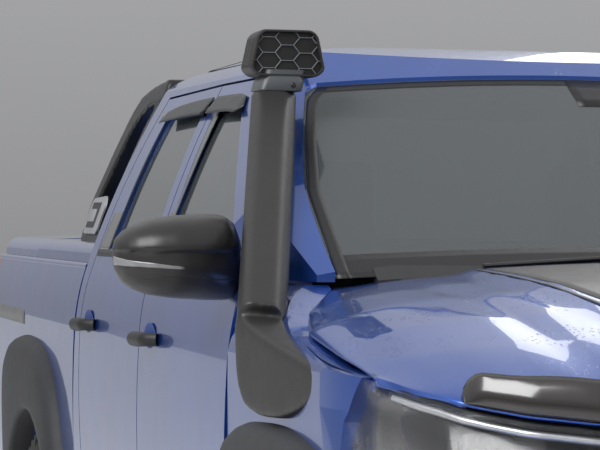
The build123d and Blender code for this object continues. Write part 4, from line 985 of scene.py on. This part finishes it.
def lamps():
    """Clear lenses over dark housings, with projectors, light guides and red rear lamps."""
    def front(at, n):
        return at[1] < 1000 and n.x * math.copysign(0.7, at[0]) - n.y * 0.7 > 0.2 and abs(n.z) < 0.85
    points, faces = skin_of("lamps", front)
    points = [(x, y, min(z, along(SHUT_ROWS, y) - 7)) for x, y, z in points]
    lens = piece("front_lenses", points, faces, "lamp_lens", "chassis", 60)
    thicken(lens, LAMP_SKIN)
    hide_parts("lamps")
    back = piece("lamp_backs", points, faces, "lamp_dark", "chassis", 60, "dark_plastic")
    sink = back.modifiers.new("sink", "DISPLACE")
    sink.direction = "Y"
    sink.mid_level = 0
    sink.strength = LAMP_DEPTH
    thicken(back, LAMP_SKIN)

    def rear(at, n):
        return at[1] > 1000
    points, faces = skin_of("lamps", rear)
    piece("rear_lamps", points, faces, "lamp_red", "chassis", 40, "lamp_lens")
    for side, sign in SIDES:
        for k, (x, y, z, radius) in enumerate(BOWLS):
            rings = disc_rings((sign * x, y, z), radius, BOWL_RINGS, 28)
            loft_piece(f"lamp_bowl_{side}_{k}", rings, "chrome", "chassis", 30, "rim_alloy")
            arcs = [math.pi / 2 * i / 6 for i in range(6)]
            dome = [(12 - radius * 0.5 * math.sin(a), 0.62 * math.cos(a)) for a in arcs]
            rings = disc_rings((sign * x, y, z), radius, dome, 24)
            loft_piece(f"lamp_projector_{side}_{k}", rings, "lamp_lens", "chassis", 60)
        path = [[lerp(a, b, f) for a, b in zip(*ends)]
                for ends in zip(GUIDE, GUIDE[1:]) for f in (0, 0.33, 0.66)]
        path = [(sign * (x - 12), y + 26, z) for x, y, z in path + [GUIDE[-1]]]
        tube_piece(f"lamp_guide_{side}", path, 6, "guide_white", "chassis", 10, 1.0, "lamp_lens")
        edge = [bonnet_point(sign * t, 1.0) for t in spread(0.985, 0.56, 25)]
        for name, drop, mat, finish in BROWS:
            path = [(x * 0.985, y + 13, z - drop) for x, y, z in edge]
            tube_piece(f"lamp_{name}_{side}", path, 7.5, mat, "chassis", 10, 0.9, finish)


# Guard's edge along the bonnet's shut line, half width by distance behind the front axle
GUARD_EDGE = [(-300, 853), (-150, 880), (-90, 881), (104, 873), (260, 842), (340, 802), (396, 768)]


def gutters():
    """Painted channel under each bonnet edge, between the guard's top and the bonnet's side."""
    for side, sign in SIDES:
        rows = []
        for y in spread(-300, 396, 25):
            shut = along(SHUT_ROWS, y)
            inner = along(SIDE_PLAN, y) - 3
            rows.append([(sign * (along(GUARD_EDGE, y) - 2), y, shut - 7), (sign * inner, y, shut - 10),
                         (sign * (inner - 2), y, shut - 30)])
        sheet_piece(f"bonnet_gutter_{side}", rows, "body_paint", "chassis", 0, 50, "body_paint")


# Front meshes. Columns: name, cell, half-widths below and above, height, middle's y, how far the ends come
# back, z of the foot, depth of the bars.
MESHES = (("grille_mesh", (56, 34), (446, 430), 330, -780, 150, 716, 6),
          ("intake_mesh", (44, 26), (440, 440), 150, -790, 90, 443, 5))
MESH_HALF = 450
FOG_AT, FOG_RADIUS, FOG_TURN = (640, -722, 520), 38, 0.42
FOG_RINGS = ((24, 0.1), (20, 0.8), (2, 1.0), (-4, 1.06), (-2, 1.3), (14, 1.36))


def front_dress():
    """Honeycomb behind the grille bars and in the intake, fog lamps and a blank plate."""
    for name, cell, (low, high), tall, mid_y, bow, foot_z, deep in MESHES:
        bars = []
        for edge in hex_edges(*cell, [(-low, 0), (low, 0), (high, tall), (-high, tall)]):
            ends = [(u, mid_y + bow * (u / MESH_HALF) ** 2, foot_z + v) for u, v in edge]
            bars.append(bar(*ends, 3, deep))
        joined(name, bars, "dark_plastic", "chassis", 30)
    plate = [[(u, y, 651 + v) for u, v in rounded(186, 30, 8)] for y in (-985.5, -983, -980)]
    loft_piece("number_plate_blank", plate, "plate_white", "chassis", 30, "dark_plastic")
    x, y, z = FOG_AT
    for side, sign in SIDES:
        rings = []
        for depth, f in FOG_RINGS:
            around = [(FOG_RADIUS * f * c, FOG_RADIUS * f * s) for c, s in circle(28)]
            rings.append([(sign * x + u * 0.94, y + depth + sign * FOG_TURN * u, z + v) for u, v in around])
        loft_piece(f"fog_lamp_{side}", rings, "chrome", "chassis", 30, "rim_alloy")


def bar_x(z):
    """Half-width of the sports bar's outer face, which leans in towards the roof."""
    return lerp(812, 648, (z - 1288) / 492)


# Antenna columns: rise, half-length, half-width. Roof channel, silver fin and its slot columns: y, z.
ANTENNA = ((0, 62, 30), (4, 62, 30), (18, 48, 24), (34, 26, 14), (44, 14, 6), (47, 5, 2))
CHANNEL = [(1063, 1730), (1300, 1762), (1700, 1775), (2100, 1771), (2370, 1752)]
FIN = [(2740, 1338), (2930, 1338), (2972, 1372), (2950, 1440), (2760, 1446), (2728, 1420)]
FIN_MIDDLE = (2850, 1392)
FIN_SLOT = [(2790, 1356), (2925, 1356), (2925, 1374), (2826, 1374), (2826, 1410), (2920, 1410), (2920, 1428),
            (2790, 1428)]
TAIL_FACE = 4259.5


def roof_and_rear():
    """Antenna, roof channels, silver panels of the sports bar, the tub's stripes and the tailgate handle."""
    rings = [[(-43 + wide * c, 2330 + rise * 0.8 + long * s, 1752 + rise) for c, s in circle(24)]
             for rise, long, wide in ANTENNA]
    loft_piece("roof_antenna", rings, "trim_gloss", "chassis", 60, "dark_plastic")
    mid_y, mid_z = FIN_MIDDLE
    for side, sign in SIDES:
        groove = [[(sign * (600 + 10 * k), y, along(CHANNEL, y) - 2 - 3 * k) for k in range(2)]
                  for y in range(1100, 2370, 40)]
        sheet_piece(f"roof_channel_{side}", groove, "dark_plastic", "chassis", 1.5, 60)
        plate = [[(sign * (bar_x(z) + off), lerp(mid_y, y, grow), lerp(mid_z, z, grow))
                  for y, z in round_corners(FIN, 16)] for off, grow in ((-2, 1.0), (3, 1.0), (5, 0.96))]
        loft_piece(f"bar_panel_{side}", plate, "silver_paint", "chassis", 30, "rim_alloy")
        slot = [[(sign * (bar_x(z) + off), y, z) for y, z in round_corners(FIN_SLOT, 5)] for off in (3, 5.6)]
        loft_piece(f"bar_slot_{side}", slot, "dark_plastic", "chassis", 30)
        stripe = [[(sign * (lerp(897, 867, max(0, (z - 1090) / 158)) + 1.2), y + (z - 1100) * 0.5, z)
                   for z in (1060, 1090, 1120, 1150, 1180)] for y in spread(3420, 4020, 13)]
        sheet_piece(f"tub_stripe_{side}", stripe, "stripe_grey", "chassis", 0.5, 60, "dark_plastic")
    handle = [[(u, TAIL_FACE + off, 1150 + v) for u, v in rounded(120 * g, 34 * g, 14)]
              for off, g in ((-3, 1.0), (0.4, 1.0), (2.2, 0.97), (1.2, 0.8), (-1, 0.74))]
    loft_piece("tailgate_handle", handle, "dark_plastic", "tailgate", 30)


# Sports bar members in side view. Columns: y, z.
REAR_MEMBER = [(2880, 1296), (2966, 1300), (2996, 1350), (3006, 1421), (2986, 1462), (2905, 1588),
               (2824, 1684), (2750, 1728), (2604, 1750), (2408, 1762), (2408, 1706), (2590, 1692),
               (2694, 1664), (2762, 1620), (2840, 1530), (2906, 1440), (2902, 1380)]
FRONT_MEMBER = [(2600, 1296), (2690, 1300), (2700, 1420), (2668, 1520), (2590, 1640), (2500, 1712),
                (2408, 1740), (2408, 1690), (2470, 1660), (2540, 1590), (2610, 1500), (2636, 1420)]
BAR_BASE = [(2600, 1296), (2966, 1296), (2985, 1350), (2700, 1352), (2620, 1340)]


def sports_bar():
    """Two curved members on each side that share a foot, lean in to the roof, and carry a cross tube."""
    for side, sign in SIDES:
        parts = []
        for loop, inset, thick in ((REAR_MEMBER, 0, 66), (FRONT_MEMBER, 6, 54), (BAR_BASE, 2, 70)):
            smooth = round_corners(loop, 26, 3)
            parts.append(loft_part([[(sign * (bar_x(z) - inset - deep), y, z) for y, z in smooth]
                                    for deep in (0, thick)]))
        member = joined(f"sports_bar_{side}", parts, "bar_black", "chassis", 60)
        soften(member, 0.006, 9)
    cross = [(x, 2440, 1716) for x in (-600, -300, 0, 300, 600)]
    tube = tube_piece("sports_bar_cross", cross, 34, "bar_black", "chassis", 24)
    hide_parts("sports_bar")


def flare_skin(y, z, end):
    """Half-width of the painted side under a flare."""
    if end == "front" and y < -230:
        return along([(-650, 792), (-450, 872), (-230, 897)], y)
    return along([(560, 884), (1090, 897), (1250, 866)], z)


# Flares: middle of the arch and radius of the lip at each end, and the arches' height
ARCHES = (("front", 0, 481), ("rear", WHEELBASE, 467))
ARCH_Z = 358.5
# Flare's outer radius by the angle from upright, in degrees, positive towards the rear
FLARE_EDGE = {
    "front": [(-68, 562), (-45, 572), (-30, 612), (-13, 636), (0, 643), (12, 662), (23, 697), (35, 764),
              (42, 788), (46, 775), (52, 722), (60, 655), (68, 608)],
    "rear": [(-68, 545), (-45, 553), (-38, 588), (-27, 630), (-13, 654), (0, 664), (12, 688), (23, 728),
             (35, 790), (42, 806), (46, 786), (52, 726), (60, 655), (68, 608)],
}
FLARE_END = 68


def flares():
    """Broad moulded flares: a rounded shoulder off the body, a nearly flat face and a turned lip."""
    for end, mid_y, lip in ARCHES:
        for side, sign in SIDES:
            rings = []
            for angle in spread(-FLARE_END, FLARE_END, 73):
                turn = math.radians(angle)
                outer = sum(along(FLARE_EDGE[end], angle + k) for k in (-4, -2, 0, 2, 4)) / 5
                ring = []
                for radius, out in (
                        (outer, -6), (outer - 3, 8), (outer - 10, 24), (outer - 24, 38), (outer - 50, 47),
                        (lip + 24, 53), (lip + 8, 53), (lip + 1, 49), (lip - 2, 40), (lip - 2, -14),
                        (outer - 30, -14)):
                    y, z = mid_y + radius * math.sin(turn), ARCH_Z + radius * math.cos(turn)
                    ring.append((sign * (flare_skin(y, z, end) + out), y, z))
                rings.append(ring)
            flare = loft_piece(f"arch_flare_{end}_{side}", rings, "flare_plastic", "chassis", 50)
            if (end, side) == ("front", "left"):
                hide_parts("arch_flares")


# Tyres and hubs: axle height, station and track by end, tread radius, groove radius and bead radius
AXLE_Z = 338.5
AXLES = (("front", 0, 1535), ("rear", WHEELBASE, 1550))
TREAD_R, GROOVE_R, BEAD_R = 415.5, 402.5, 216.3
# Outer half of the tyre's section. Columns: distance from its middle, radius.
SECTION = [(102, BEAD_R), (108, BEAD_R + 8), (122, BEAD_R + 14), (134, 262), (142, 305), (142.4, 330),
           (139, 360), (131, 384), (122, 396), (112, GROOVE_R - 3)]
TYRE_STEPS = 96
LUGS = 12
# Tread blocks of one lug. Columns: distance from the middle, from and to, share of the pitch, from and to,
# and slant.
BLOCKS = ((60, 123, -0.27, -0.02, 0.0), (60, 123, 0.02, 0.27, 0.0), (4, 54, -0.25, 0.02, 0.06),
          (4, 54, 0.06, 0.30, 0.06))
BLOCK_FACES = [(0, 1, 5, 4), (1, 2, 6, 5), (2, 3, 7, 6), (3, 0, 4, 7), (4, 5, 9, 8), (5, 6, 10, 9),
               (6, 7, 11, 10), (7, 4, 8, 11), (8, 9, 10, 11)]
HUB_OUT = 60
NUTS, NUT_CIRCLE, NUT_RADIUS, CAP_RADIUS = 6, 57, 11, 34
NUT_RINGS = ((-4, 1), (12, 1), (15, 0.7))
CAP_RINGS = ((-4, 1), (10, 1), (16, 0.9), (18, 0.5))


def tread_block(x0, x1, s0, s1, low, turn, slant=0.0, high=TREAD_R):
    """Block of the tread with chamfered edges, between two radii."""
    pitch = 2 * math.pi / LUGS
    points = []
    for r, cut in ((low, 0.0), (high - 2.5, 0.0), (high, 2.5)):
        for x, s in ((x0 + cut, s0), (x1 - cut, s0), (x1 - cut, s1), (x0 + cut, s1)):
            chamfer = cut / high if s == s0 else -cut / high
            a = (s + turn + slant * (x - x0) / (x1 - x0)) * pitch + chamfer
            points.append((x, r * math.cos(a), r * math.sin(a)))
    return points, BLOCK_FACES


def tyre_parts():
    """Carcass and tread blocks about the wheel's middle."""
    loop = SECTION + [(-x, r) for x, r in reversed(SECTION)]
    points = [(x, r * c, r * s) for c, s in circle(TYRE_STEPS) for x, r in loop]
    faces = []
    for k in range(TYRE_STEPS):
        for j in range(len(loop)):
            faces.append(tuple((k + di) % TYRE_STEPS * len(loop) + (j + dj) % len(loop)
                               for di, dj in ((0, 0), (1, 0), (1, 1), (0, 1))))
    parts = [(points, faces)]
    for i in range(LUGS):
        for sign, turn in ((1, 0.27), (-1, 0.77)):
            for x0, x1, s0, s1, slant in BLOCKS:
                a, b = sorted((sign * x0, sign * x1))
                parts.append(tread_block(a, b, s0, s1, GROOVE_R - 12, i + turn, slant * sign))
            a, b = sorted((sign * 118, sign * 134))
            parts.append(tread_block(a, b, -0.2, 0.2, 362, i + turn, 0.0, 398))
    return parts


def hub_rings(centre, sign, radius, table, steps):
    """Rings about a wheel's axis. Columns of the table: distance out of the hub, share of the radius."""
    x, y, z = centre
    return [[(x + sign * (HUB_OUT + d), y + radius * f * c, z + radius * f * s) for c, s in circle(steps)]
            for d, f in table]


def wheels():
    """Treaded tyres, and each rim's nuts, cap and bevelled edges."""
    parts = tyre_parts()
    for end, y, track in AXLES:
        for side, sign in SIDES:
            cx, cy, cz = centre = (sign * track / 2, y, AXLE_Z)
            body = f"wheel_{end}_{side}"
            moved = [([(u + cx, v + cy, w + cz) for u, v, w in points], faces) for points, faces in parts]
            tyre = joined(f"tyre_tread_{end}_{side}", moved, "tyre_rubber", body, 32)
            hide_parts(f"tyre_{end}_{side}")
            nuts = []
            for k in range(NUTS):
                a = 2 * math.pi * (k + 0.5) / NUTS
                at = (cx, cy + NUT_CIRCLE * math.cos(a), cz + NUT_CIRCLE * math.sin(a))
                rings = hub_rings(at, sign, NUT_RADIUS, NUT_RINGS, 6)
                faces = grid_faces(len(NUT_RINGS), 6, closed=True) + [tuple(range(12, 18))]
                nuts.append(([p for ring in rings for p in ring], faces))
            joined(f"wheel_nuts_{end}_{side}", nuts, "chrome", body, 30, "rim_alloy")
            cap = hub_rings(centre, sign, CAP_RADIUS, CAP_RINGS, 32)
            loft_piece(f"wheel_cap_{end}_{side}", cap, "dark_plastic", body, 30)
            bevel = NODES[f"rim_{end}_{side}"].modifiers.new("edges", "BEVEL")
            bevel.width = 0.003
            bevel.segments = 2
            bevel.angle_limit = math.radians(50)


def seats():
    """Front seats and rear bench as swelled cushions, from the CAD seats' form."""
    cells = linked("seat_cushions", NODES["seats"].data.copy())
    soften(cells, 0.012, 16, 0.6)
    graph = bpy.context.evaluated_depsgraph_get()
    done = bpy.data.meshes.new_from_object(cells.evaluated_get(graph))
    bpy.data.objects.remove(cells)
    obj = linked("seat_cushions", done)
    done.materials.clear()
    done.materials.append(MATS["seat_fabric"])
    done.shade_smooth()
    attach(obj, "chassis")
    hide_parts("seats")


def softened():
    """Moulded and coated parts whose edges are rounded in place."""
    for name, voxel, passes in (("side_steps", 0.008, 6), ("rear_bumper", 0.009, 6)):
        soften(NODES[name], voxel, passes)


make_camera()
MATS = make_materials()
dress_nodes(MATS)
make_studio()
bonnet()
bonnet_protector()
snorkel_body()
snorkel_head()
mirrors()
windscreen()
side_trims()
lamps()
gutters()
front_dress()
roof_and_rear()
sports_bar()
flares()
wheels()
seats()
softened()
